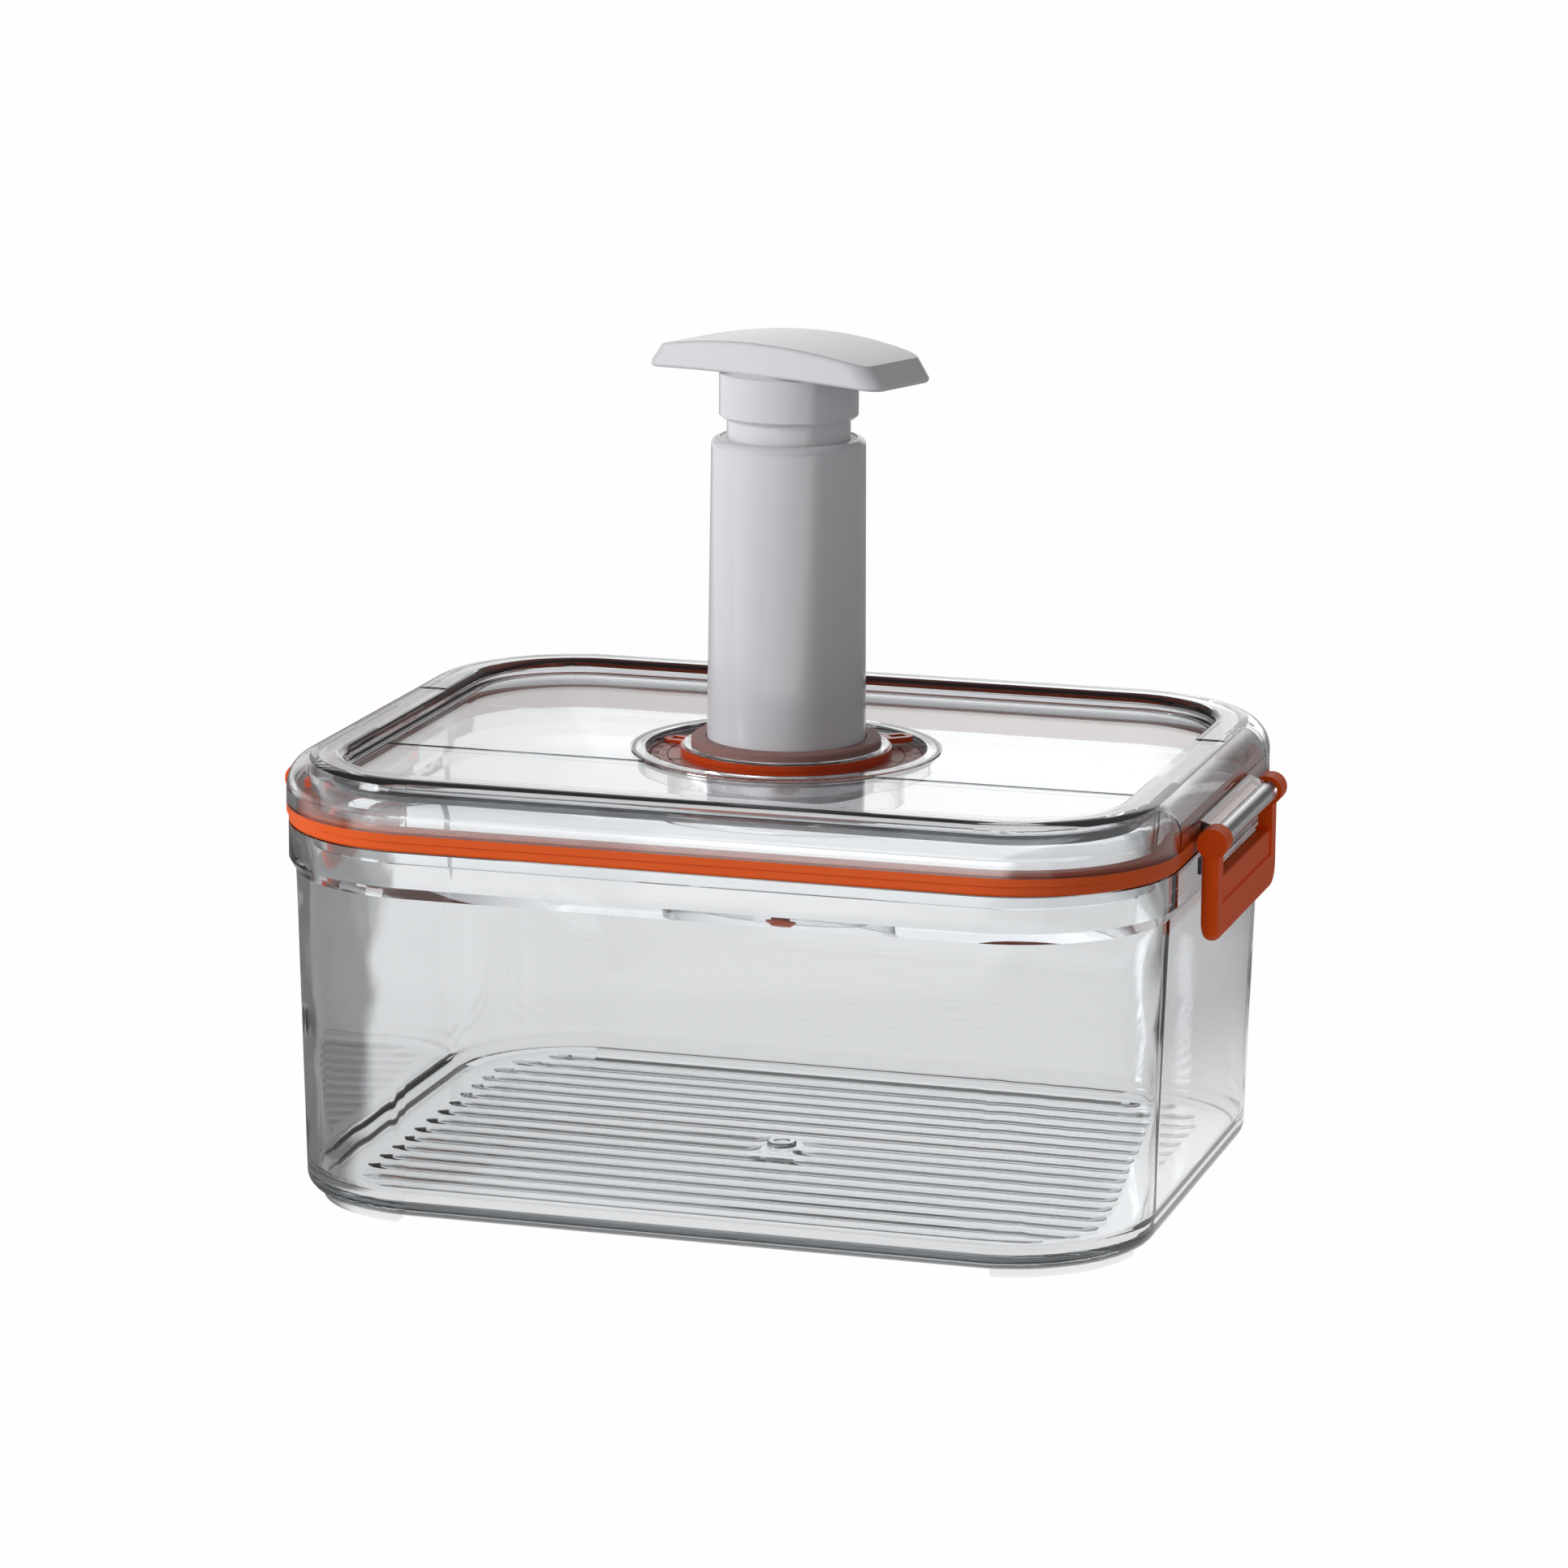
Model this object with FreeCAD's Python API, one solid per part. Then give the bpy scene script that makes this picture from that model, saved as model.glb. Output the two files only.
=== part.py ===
"""Vacuum seal canister: a clear latched food box with a date dial and a hand pump standing on its valve.

Millimetres, +Z up. The origin is the middle of the plane that the four feet stand on. X runs along the
box, and the two latches close its short ends.
"""
import FreeCAD
import Part
import math
import os

from FreeCAD import Vector

# Fits between pieces
SEAT_GAP = 0.1            # between flat faces of pieces that lift apart
RUNNING_FIT = 0.08        # radial, where one piece turns or slides on another
PRESS_CLEARANCE = 0.05    # radial, where one piece is pushed into another
SLACK = 0.3               # between pieces that pass each other
CUT = 1.0                 # how far a cutting tool reaches past the face it cuts
SAME_PLACE = 1e-4         # places closer than this count as one

# Tub
TUB_LENGTH = 217.0        # outside, at the base
TUB_DEPTH = 170.0
TUB_CORNER = 37.0
TUB_DRAFT = 2.25          # each side widens by this from base to collar
TUB_WALL = 2.6
TUB_FLOOR = 3.0
TUB_OUTER_EDGE = 4.0
TUB_INNER_EDGE = 5.0
BODY_HEIGHT = 81.4        # base to collar
COLLAR_HEIGHT = 11.7
COLLAR_PROUD = 1.75
COLLAR_TAPER = 3.0
FOOT_HEIGHT = 2.2
FOOT_WIDTH = 4.0
FOOT_SWEEP = 76.0         # degrees of each corner
RIB_PITCH = 6.0
RIB_WIDTH = 3.2
RIB_HEIGHT = 0.9
RIB_EDGE = 0.7
RIB_MARGIN = 9.0          # bare floor round the ribs
RIB_CORNER = 30.0
GATE_RADIUS = 4.0
GATE_HEIGHT = 1.4
GATE_DIMPLE = 1.6

# Lid
LID_OVERHANG = 0.5        # beyond the collar on each side
LID_HEIGHT = 13.5
LID_WALL = 2.4
LID_EDGE = 8.0
RIM_WIDTH = 14.6
RIM_INNER_EDGE = 2.0
RECESS_DEPTH = 4.0
RECESS_EDGE = 1.5
PANEL_THICKNESS = 2.4
PLUG_OFFSET = 6.3         # skirt face to the plug wall's outer face
PLUG_WALL = 2.0
PLUG_REACH = 3.8          # into the tub's mouth
BAND_WIDTH = 52.0         # stepped band across the lid, in line with the latches
BAND_STEP = 0.3

# Gasket
GASKET_BAND = 3.2         # height that shows between lid and collar
GASKET_EDGE = 0.9
TONGUE_HEIGHT = 2.4
TONGUE_SLACK = 0.5

# Latches and their hinges
LATCH_WIDTH = 70.0
LATCH_ARM = 6.8           # width of each arm beside the window
LATCH_THICKNESS = 4.2
LATCH_SET_IN = 0.6        # middle of the plate, inboard of the pivot
LATCH_BOTTOM_ROUND = 1.9
LATCH_CORNER = 6.0
LATCH_STEP = 0.4          # shallow step in the outer face below the window
LATCH_STEP_DROP = 6.2     # window's lower edge to the step's lower line
KNUCKLE_RADIUS = 3.75
BARREL_RADIUS = 2.8
EAR_RISE = 2.4            # half height of the web where it meets the barrel
PIN_RADIUS = 1.2
PIN_END_WALL = 1.6        # knuckle left beyond the pin's end
PIVOT_OUT = 4.5           # beyond the lid's skirt
PIVOT_UP = 0.8            # above the skirt's lower edge
PIVOT_TO_HOOK = 9.9       # down to the window's lower edge
PIVOT_TO_TIP = 25.2       # down to the latch's lower end
HOOK_EDGE = 0.6           # rounding of the window's lower edge
CATCH_RADIUS = 2.0
CATCH_BITE = 1.3          # how far the hook reaches under the catch bar
CATCH_GAP = 0.5           # between the hook and the catch bar above it
CATCH_CORNER = 3.0
EAR_SIDE_GAP = 0.6        # between an arm and what lies between the arms

# Valve cup in the lid
CUP_RIM_WIDTH = 1.6       # rim beyond the cup's wall
CUP_RIM_THICKNESS = 1.0
CUP_PROUD = 0.5           # rim above the panel
CUP_WALL = 1.8
CUP_DEPTH = 7.2           # rim top to the wall's lower edge
CUP_SEAL_THICKNESS = 0.4
CUP_SEAL_MARGIN = 0.2
DIAL_DEPTH = 3.0          # rim top to the seat of the dial
DIAL_THICKNESS = 1.0
DIAL_WIDTH = 9.6
SEAT_WALL = 1.2           # round boss outside the pump's foot
SEAT_LIP = 0.5
SEAT_LIP_HEIGHT = 0.45
SEAT_RISE = 4.0           # dial seat to the top of the lip
SEAT_LEDGE = 3.4          # ring that the pump's foot stands on
WELL_DEPTH = 10.3         # pump seat to the well's floor
GUARD_GAP = 5.7           # valve well to the splash guard round it
GUARD_WALL = 2.0
GUARD_DEPTH = 10.4
VENT_RADIUS = 1.0
VENT_CIRCLE = 5.5
VENT_COUNT = 6

# Date pointers
POINTER_WALL = 1.1
POINTER_THICKNESS = 0.85
TAB_WIDTH = 6.0
TAB_END_GAP = 0.8         # tab's tip to the cup's wall
TAB_SLOT_LENGTH = 4.2     # window in the tab that frames a number
TAB_SLOT_WIDTH = 2.6
MONTH_ANGLE = 168.0
DAY_ANGLE = 40.0

# Valve plug
PLUG_CAP_RADIUS = 9.0
PLUG_CAP_EDGE = 0.8
PLUG_CAP_HEIGHT = 2.4
PLUG_STEM_RADIUS = 2.4
PLUG_STEM_SLACK = 0.5
PLUG_NECK_RADIUS = 2.7
PLUG_KNOB_RADIUS = 3.6
PLUG_KNOB_HEIGHT = 3.6
PLUG_KNOB_EDGE = 0.9
PLUG_BULB_RADIUS = 3.8
PLUG_BULB_HEIGHT = 1.6
PLUG_BULB_EDGE = 0.4
PLUG_LIFT_ROOM = 1.4

# Pump
PUMP_BORE = 17.2          # radius
PUMP_WALL = 2.1           # at the barrel's mouth
PUMP_DRAFT = 0.7          # barrel's foot beyond its mouth
PUMP_BARREL_HEIGHT = 76.6
PUMP_LIP = 2.0
SPIGOT_STEP = 1.1         # inside the barrel's foot
SPIGOT_HEIGHT = 1.6
FOOT_SEAL_FLANGE = 3.9    # beyond the barrel's foot
FOOT_SEAL_HEIGHT = 2.8
FOOT_SEAL_LIP = 0.7       # above the barrel's lower edge
FOOT_SEAL_EDGE = 0.5
BASE_STEP = 0.6           # counterbore that seats the base plate
BASE_THICKNESS = 2.0
BASE_SEAT = 1.7           # base plate's top above the barrel's lower edge
INLET_CAP_RADIUS = 9.0
INLET_CAP_THICKNESS = 1.2
INLET_STEM_RADIUS = 1.5
INLET_BULB_RADIUS = 2.2
INLET_BULB_HEIGHT = 1.2
INLET_HOLE_RADIUS = 1.2
INLET_HOLE_CIRCLE = 6.0
INLET_HOLE_COUNT = 6
BUSH_WALL = 1.62
BUSH_HEIGHT = 8.3
BUSH_SINK = 0.2           # below the barrel's top
PLUNGER_WALL = 2.25
PLUNGER_WEB = 2.2
PLUNGER_BOSS_RADIUS = 4.0
PLUNGER_BOSS_HEIGHT = 6.6
PISTON_GAP = 0.5          # piston to bore
PISTON_HEIGHT = 10.0
PISTON_REST_GAP = 1.4     # above the inlet valve
GROOVE_BOTTOM = 3.0       # piston's lower face to its groove
GROOVE_HEIGHT = 3.2
GROOVE_DEPTH = 2.1
EXHAUST_RADIUS = 9.5
EXHAUST_THICKNESS = 1.0
EXHAUST_HOLE_RADIUS = 1.2
EXHAUST_HOLE_CIRCLE = 7.0
EXHAUST_HOLE_COUNT = 6
SCREW_RADIUS = 1.6
SCREW_HEAD_RADIUS = 3.4
SCREW_HEAD_HEIGHT = 2.2
SCREW_DRIVE_RADIUS = 1.1
SCREW_DRIVE_DEPTH = 1.1
SCREW_BITE = 5.4          # into the plunger's boss
SCREW_RECESS = 0.4        # head below the piston's lower face

# Handle
NECK_HEIGHT = 5.0         # plunger that shows between barrel and stem
STEM_WALL = 1.9
STEM_EDGE = 0.8
STEM_HEIGHT = 10.5
HANDLE_LENGTH = 73.8
HANDLE_END_WIDTH = 24.4
HANDLE_MIDDLE_WIDTH = 31.0
HANDLE_BEVEL = 5.0
HANDLE_END_THICKNESS = 6.1
HANDLE_CROWN = 3.4        # rise of the top from ends to middle
HANDLE_ARCH = 1.4         # rise of the underside from ends to middle
HANDLE_CORNER = 4.5       # rounding between sides and ends
HANDLE_EDGE = 1.0
HANDLE_TURN = -20.0       # degrees about the pump's axis

# Outlines shared by the pieces, as (length, depth, corner radius)
TUB_BASE = (TUB_LENGTH, TUB_DEPTH, TUB_CORNER)


def grown(size, by):
    """The outline moved outwards by a distance, or inwards where it is negative."""
    length, depth, corner = size
    return (length + 2 * by, depth + 2 * by, corner + by)


TUB_TOP = grown(TUB_BASE, TUB_DRAFT)
COLLAR = grown(TUB_TOP, COLLAR_PROUD)
LID = grown(COLLAR, LID_OVERHANG)

# Radii that follow from the pump's bore, outwards to the cup's rim
PISTON_RADIUS = PUMP_BORE - PISTON_GAP
PLUNGER_RADIUS = PUMP_BORE - PRESS_CLEARANCE - BUSH_WALL - RUNNING_FIT
STEM_RADIUS = PLUNGER_RADIUS + PRESS_CLEARANCE + STEM_WALL
PUMP_TOP_RADIUS = PUMP_BORE + PUMP_WALL
PUMP_FOOT_RADIUS = PUMP_TOP_RADIUS + PUMP_DRAFT
SPIGOT_RADIUS = PUMP_FOOT_RADIUS - SPIGOT_STEP
FOOT_SEAL_RADIUS = PUMP_FOOT_RADIUS + FOOT_SEAL_FLANGE
WELL_RADIUS = FOOT_SEAL_RADIUS - SEAT_LEDGE
GUARD_RADIUS = WELL_RADIUS + CUP_WALL + GUARD_GAP + GUARD_WALL
SEAT_RADIUS = FOOT_SEAL_RADIUS + SLACK + SEAT_WALL
DIAL_INNER_RADIUS = SEAT_RADIUS + SLACK
DIAL_OUTER_RADIUS = DIAL_INNER_RADIUS + DIAL_WIDTH
CUP_INNER_RADIUS = DIAL_OUTER_RADIUS + SLACK
CUP_WALL_RADIUS = CUP_INNER_RADIUS + CUP_WALL
CUP_RIM_RADIUS = CUP_WALL_RADIUS + CUP_RIM_WIDTH

# Heights
BASE_Z = FOOT_HEIGHT
FLOOR_Z = BASE_Z + TUB_FLOOR
COLLAR_Z = BASE_Z + BODY_HEIGHT
MOUTH_Z = COLLAR_Z + COLLAR_HEIGHT
SKIRT_Z = MOUTH_Z + SEAT_GAP + GASKET_BAND
LID_TOP_Z = SKIRT_Z + LID_HEIGHT
PANEL_Z = LID_TOP_Z - RECESS_DEPTH
CUP_RIM_Z = PANEL_Z + CUP_PROUD
CUP_LEDGE_Z = CUP_RIM_Z - CUP_RIM_THICKNESS - CUP_SEAL_THICKNESS
DIAL_SEAT_Z = CUP_RIM_Z - DIAL_DEPTH
DIAL_Z = DIAL_SEAT_Z + DIAL_THICKNESS
LIP_TOP_Z = DIAL_SEAT_Z + SEAT_RISE
PUMP_SEAT_Z = LIP_TOP_Z - 2 * SEAT_LIP_HEIGHT
WELL_FLOOR_Z = PUMP_SEAT_Z - WELL_DEPTH
FOOT_Z = PUMP_SEAT_Z + SEAT_GAP
BARREL_Z = FOOT_Z + FOOT_SEAL_HEIGHT - FOOT_SEAL_LIP
BARREL_TOP_Z = BARREL_Z + PUMP_BARREL_HEIGHT
BASE_TOP_Z = BARREL_Z + BASE_SEAT
INLET_TOP_Z = BASE_TOP_Z + PRESS_CLEARANCE + INLET_CAP_THICKNESS
PISTON_Z = INLET_TOP_Z + PISTON_REST_GAP
PISTON_TOP_Z = PISTON_Z + PISTON_HEIGHT
WEB_TOP_Z = PISTON_TOP_Z + PLUNGER_WEB
STEM_Z = BARREL_TOP_Z + NECK_HEIGHT
HANDLE_Z = STEM_Z + STEM_HEIGHT

# Hinge and hook of the right latch, as places in the XZ plane
PIVOT_X = LID[0] / 2 + PIVOT_OUT
PIVOT_Z = SKIRT_Z + PIVOT_UP
LATCH_OUTER_X = PIVOT_X - LATCH_SET_IN + LATCH_THICKNESS / 2
LATCH_INNER_X = LATCH_OUTER_X - LATCH_THICKNESS
HOOK_Z = PIVOT_Z - PIVOT_TO_HOOK
CATCH_X = LATCH_INNER_X + CATCH_BITE - CATCH_RADIUS
CATCH_Z = HOOK_Z + CATCH_GAP + CATCH_RADIUS
WINDOW_HALF = LATCH_WIDTH / 2 - LATCH_ARM
EAR_HALF = WINDOW_HALF - EAR_SIDE_GAP


def outline(size, z):
    """A rounded rectangle as a closed wire: four straight runs and four quarter arcs."""
    length, depth, corner = size
    half_x = length / 2
    half_y = depth / 2
    flat_x = half_x - corner
    flat_y = half_y - corner
    reach = corner * math.sqrt(0.5)
    edges = []
    for turn in range(4):
        run, side, near = (flat_x, half_y, flat_y) if turn % 2 == 0 else (flat_y, half_x, flat_x)
        start = Vector(-run, -side, z)
        end = Vector(run, -side, z)
        middle = Vector(run + reach, -near - reach, z)
        last = Vector(run + corner, -near, z)
        spin = FreeCAD.Rotation(Vector(0, 0, 1), 90 * turn)
        start, end, middle, last = [spin.multVec(point) for point in (start, end, middle, last)]
        edges.append(Part.makeLine(start, end))
        edges.append(Part.Arc(end, middle, last).toShape())
    return Part.Wire(edges)


def prism(size, bottom, top):
    """A straight block with a rounded rectangle as its outline."""
    return Part.Face(outline(size, bottom)).extrude(Vector(0, 0, top - bottom))


def tapered(bottom_size, bottom, top_size, top):
    """A block whose outline changes evenly from its bottom to its top."""
    return Part.makeLoft([outline(bottom_size, bottom), outline(top_size, top)], True, True)


def band(outer_size, inner_size, bottom, top):
    """A straight wall between two rounded rectangles."""
    return prism(outer_size, bottom, top).cut(prism(inner_size, bottom - CUT, top + CUT))


def level_edges(shape, z):
    """Edges of a shape that lie in the plane at height z."""
    return [edge for edge in shape.Edges
            if abs(edge.BoundBox.ZMin - z) < SAME_PLACE and abs(edge.BoundBox.ZMax - z) < SAME_PLACE]


def rounded_at(shape, z, radius):
    """The shape with its edges at height z rounded."""
    return shape.makeFillet(radius, level_edges(shape, z))


def turned(points):
    """A solid of revolution about Z from (radius, height) points."""
    corners = [Vector(radius, 0, height) for radius, height in points]
    face = Part.Face(Part.makePolygon(corners + corners[:1]))
    return face.revolve(Vector(0, 0, 0), Vector(0, 0, 1), 360)


def rod_y(radius, x, z, half_length):
    """A round rod along Y, centred on the XZ plane."""
    return Part.makeCylinder(radius, 2 * half_length, Vector(x, -half_length, z), Vector(0, 1, 0))


def block(x0, x1, half_y, z0, z1):
    """A box centred on the XZ plane."""
    return Part.makeBox(x1 - x0, 2 * half_y, z1 - z0, Vector(x0, -half_y, z0))


def drilled(shape, radius, circle, count, bottom, top):
    """The shape with a ring of round holes along Z."""
    for index in range(count):
        angle = 2 * math.pi * index / count
        place = Vector(circle * math.cos(angle), circle * math.sin(angle), bottom - CUT)
        shape = shape.cut(Part.makeCylinder(radius, top - bottom + 2 * CUT, place))
    return shape


def mirrored(shape):
    """The twin of a right-hand piece on the left short end."""
    return shape.mirror(Vector(0, 0, 0), Vector(1, 0, 0))


def floor_rib(half_length, y):
    """One low ridge along X with round ends and a rounded crown."""
    half_width = RIB_WIDTH / 2
    straight = half_length - half_width
    sunk = FLOOR_Z - RIB_HEIGHT
    corners = [Vector(-straight, y - half_width, sunk), Vector(straight, y - half_width, sunk),
               Vector(straight, y + half_width, sunk), Vector(-straight, y + half_width, sunk)]
    edges = [Part.makeLine(corners[0], corners[1]),
             Part.Arc(corners[1], Vector(half_length, y, sunk), corners[2]).toShape(),
             Part.makeLine(corners[2], corners[3]),
             Part.Arc(corners[3], Vector(-half_length, y, sunk), corners[0]).toShape()]
    ridge = Part.Face(Part.Wire(edges)).extrude(Vector(0, 0, 2 * RIB_HEIGHT))
    return rounded_at(ridge, FLOOR_Z + RIB_HEIGHT, RIB_EDGE)


def floor_ribs():
    """Ridges over the floor, shortened where the field's corners are round."""
    length, depth, _ = grown(TUB_BASE, -TUB_WALL - RIB_MARGIN)
    count = int((depth - RIB_WIDTH) / RIB_PITCH) + 1
    ribs = []
    for index in range(count):
        y = (index - (count - 1) / 2) * RIB_PITCH
        into_corner = max(0.0, abs(y) + RIB_WIDTH / 2 - (depth / 2 - RIB_CORNER))
        lost = RIB_CORNER - math.sqrt(RIB_CORNER ** 2 - into_corner ** 2)
        ribs.append(floor_rib(length / 2 - lost, y))
    return ribs


def corner_feet():
    """Four low curved feet that follow the base's corners."""
    outer = TUB_CORNER - TUB_OUTER_EDGE
    start = (90 - FOOT_SWEEP) / 2
    feet = []
    for turn, (side_x, side_y) in enumerate(((1, 1), (-1, 1), (-1, -1), (1, -1))):
        centre = Vector(side_x * (TUB_LENGTH / 2 - TUB_CORNER), side_y * (TUB_DEPTH / 2 - TUB_CORNER), 0)
        height = FOOT_HEIGHT + TUB_FLOOR / 2
        sector = Part.makeCylinder(outer, height, centre, Vector(0, 0, 1), FOOT_SWEEP)
        core = Part.makeCylinder(outer - FOOT_WIDTH, height, centre)
        foot = sector.cut(core)
        foot.rotate(centre, Vector(0, 0, 1), 90 * turn + start)
        feet.append(foot)
    return feet


def catch():
    """Rounded bar on the flat of the collar's right end that the latch hooks under."""
    root_x = COLLAR[0] / 2
    nose_x = CATCH_X + CATCH_RADIUS
    bar = block(root_x - CUT, CATCH_X, EAR_HALF, CATCH_Z - CATCH_RADIUS, CATCH_Z + CATCH_RADIUS)
    bar = bar.fuse(rod_y(CATCH_RADIUS, CATCH_X, CATCH_Z, EAR_HALF))
    plan = block(root_x, nose_x, EAR_HALF, CATCH_Z - 2 * CATCH_RADIUS, CATCH_Z + 2 * CATCH_RADIUS)
    ends = [edge for edge in plan.Edges
            if edge.BoundBox.XMin > nose_x - SAME_PLACE and edge.BoundBox.ZLength > CATCH_RADIUS]
    corner = min(CATCH_CORNER, nose_x - root_x - PRESS_CLEARANCE)
    return bar.common(plan.makeFillet(corner, ends)).removeSplitter()


def tub():
    """Clear box: drafted walls, thicker collar, ribbed floor and corner feet."""
    body = rounded_at(tapered(TUB_BASE, BASE_Z, TUB_TOP, COLLAR_Z), BASE_Z, TUB_OUTER_EDGE)
    flare = tapered(TUB_TOP, COLLAR_Z, COLLAR, COLLAR_Z + COLLAR_TAPER)
    collar = prism(COLLAR, COLLAR_Z + COLLAR_TAPER, MOUTH_Z)
    inner_base = grown(TUB_BASE, -TUB_WALL)
    inner_mouth = grown(TUB_TOP, -TUB_WALL)
    cavity = rounded_at(tapered(inner_base, FLOOR_Z, inner_mouth, MOUTH_Z), FLOOR_Z, TUB_INNER_EDGE)
    lip = prism(inner_mouth, MOUTH_Z, MOUTH_Z + CUT)
    outside = body.fuse([flare, collar] + corner_feet())
    gate = Part.makeCylinder(GATE_RADIUS, GATE_HEIGHT + TUB_FLOOR / 2, Vector(0, 0, FLOOR_Z - TUB_FLOOR / 2))
    dimple = Part.makeCylinder(GATE_DIMPLE, GATE_HEIGHT, Vector(0, 0, FLOOR_Z + GATE_HEIGHT / 2))
    shell = outside.cut([cavity, lip])
    return shell.fuse(floor_ribs() + [gate]).cut(dimple).removeSplitter()


def hinge_ear():
    """Barrel on the lid's right end, with the web that carries it."""
    root_x = LID[0] / 2 - LID_WALL / 2
    corners = [Vector(root_x, 0, SKIRT_Z + SLACK), Vector(PIVOT_X, 0, PIVOT_Z - EAR_RISE),
               Vector(PIVOT_X, 0, PIVOT_Z + EAR_RISE), Vector(root_x, 0, PIVOT_Z + EAR_RISE + PIVOT_OUT / 2)]
    web = Part.Face(Part.makePolygon(corners + corners[:1])).extrude(Vector(0, 2 * EAR_HALF, 0))
    web.translate(Vector(0, -EAR_HALF, 0))
    barrel = rod_y(BARREL_RADIUS, PIVOT_X, PIVOT_Z, EAR_HALF)
    bore = rod_y(PIN_RADIUS + RUNNING_FIT, PIVOT_X, PIVOT_Z, EAR_HALF + CUT)
    return web.fuse(barrel).cut(bore)


def lid():
    """Clear cover: rounded hollow rim, sunk panel with a stepped band, plug wall and two hinge ears."""
    shell = rounded_at(prism(LID, SKIRT_Z, LID_TOP_Z), LID_TOP_Z, LID_EDGE)
    ceiling = LID_TOP_Z - LID_WALL
    hollow = rounded_at(prism(grown(LID, -LID_WALL), SKIRT_Z - CUT, ceiling), ceiling, LID_EDGE - LID_WALL)
    panel = prism(grown(LID, LID_WALL - RIM_WIDTH), PANEL_Z - PANEL_THICKNESS, ceiling + LID_WALL / 2)
    plug_outer = grown(LID, -PLUG_OFFSET)
    plug = band(plug_outer, grown(plug_outer, -PLUG_WALL), MOUTH_Z - PLUG_REACH, ceiling + LID_WALL / 2)
    recess_size = grown(LID, -RIM_WIDTH)
    recess = rounded_at(prism(recess_size, PANEL_Z, LID_TOP_Z + CUT), PANEL_Z, RECESS_EDGE)
    cover = shell.cut(hollow).fuse([panel, plug]).cut(recess)
    inside = [edge for edge in level_edges(cover, LID_TOP_Z)
              if max(abs(vertex.X) for vertex in edge.Vertexes) < recess_size[0] / 2 + RIM_INNER_EDGE / 2]
    cover = cover.makeFillet(RIM_INNER_EDGE, inside)
    half_band = BAND_WIDTH / 2
    rim_step = block(-LID[0], LID[0], half_band, LID_TOP_Z - BAND_STEP, LID_TOP_Z + CUT)
    plateau_end = recess_size[0] / 2 - RECESS_EDGE
    plateau = block(-plateau_end, plateau_end, half_band, PANEL_Z - BAND_STEP, PANEL_Z + BAND_STEP)
    ledge = Part.makeCylinder(CUP_RIM_RADIUS + SLACK, LID_HEIGHT, Vector(0, 0, CUP_LEDGE_Z))
    hole = Part.makeCylinder(CUP_WALL_RADIUS + SLACK, 2 * LID_HEIGHT, Vector(0, 0, PANEL_Z - LID_HEIGHT))
    ear = hinge_ear()
    cover = cover.cut(rim_step).fuse([plateau, ear, mirrored(ear)])
    return cover.cut([ledge, hole]).removeSplitter()


def lid_gasket():
    """Silicone band that shows between lid and collar, with a tongue up into the lid's groove."""
    inner = grown(LID, SLACK - PLUG_OFFSET)
    bottom = MOUTH_Z + SEAT_GAP
    flange = prism(COLLAR, bottom, SKIRT_Z)
    flange = rounded_at(rounded_at(flange, bottom, GASKET_EDGE), SKIRT_Z, GASKET_EDGE)
    tongue = prism(grown(LID, -LID_WALL - TONGUE_SLACK), SKIRT_Z - GASKET_BAND / 2, SKIRT_Z + TONGUE_HEIGHT)
    middle = prism(inner, bottom - CUT, SKIRT_Z + TONGUE_HEIGHT + CUT)
    return flange.fuse(tongue).cut(middle).removeSplitter()


def latch():
    """Right latch: two arms with round knuckles, a window between them and a thick pull plate below, whose
    upper edge is the hook."""
    tip_z = PIVOT_Z - PIVOT_TO_TIP
    bar_z = HOOK_Z - 2 * HOOK_EDGE
    half = LATCH_WIDTH / 2
    recessed_x = LATCH_OUTER_X - LATCH_STEP
    plate = block(LATCH_INNER_X, LATCH_OUTER_X, half, tip_z, PIVOT_Z)
    corners = [edge for edge in level_edges(plate, tip_z) if edge.BoundBox.XLength > SAME_PLACE]
    plate = plate.makeFillet(LATCH_CORNER, corners)
    below = [edge for edge in plate.Edges
             if edge.BoundBox.ZMax < bar_z and edge.BoundBox.XLength < SAME_PLACE]
    plate = plate.makeFillet(min(LATCH_BOTTOM_ROUND, LATCH_THICKNESS / 2 - PRESS_CLEARANCE), below)
    knuckles = rod_y(KNUCKLE_RADIUS, PIVOT_X, PIVOT_Z, half)
    window = block(PIVOT_X - 2 * KNUCKLE_RADIUS, PIVOT_X + 2 * KNUCKLE_RADIUS, WINDOW_HALF,
                   bar_z, PIVOT_Z + 2 * KNUCKLE_RADIUS)
    hook = block(LATCH_INNER_X, recessed_x, WINDOW_HALF, bar_z, HOOK_Z)
    upper = [edge for edge in level_edges(hook, HOOK_Z) if edge.BoundBox.XLength < SAME_PLACE]
    hook = hook.makeFillet(HOOK_EDGE, upper)
    bore = rod_y(PIN_RADIUS + PRESS_CLEARANCE, PIVOT_X, PIVOT_Z, half - PIN_END_WALL)
    step = block(recessed_x, LATCH_OUTER_X + CUT, WINDOW_HALF, HOOK_Z - LATCH_STEP_DROP, HOOK_Z)
    return plate.fuse(knuckles).cut(window).fuse(hook).cut([bore, step]).removeSplitter()


def hinge_pin():
    """Steel pin that turns in the lid's right barrel, its ends pushed into the latch's blind knuckles."""
    return rod_y(PIN_RADIUS, PIVOT_X, PIVOT_Z, LATCH_WIDTH / 2 - PIN_END_WALL - SLACK)


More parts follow.
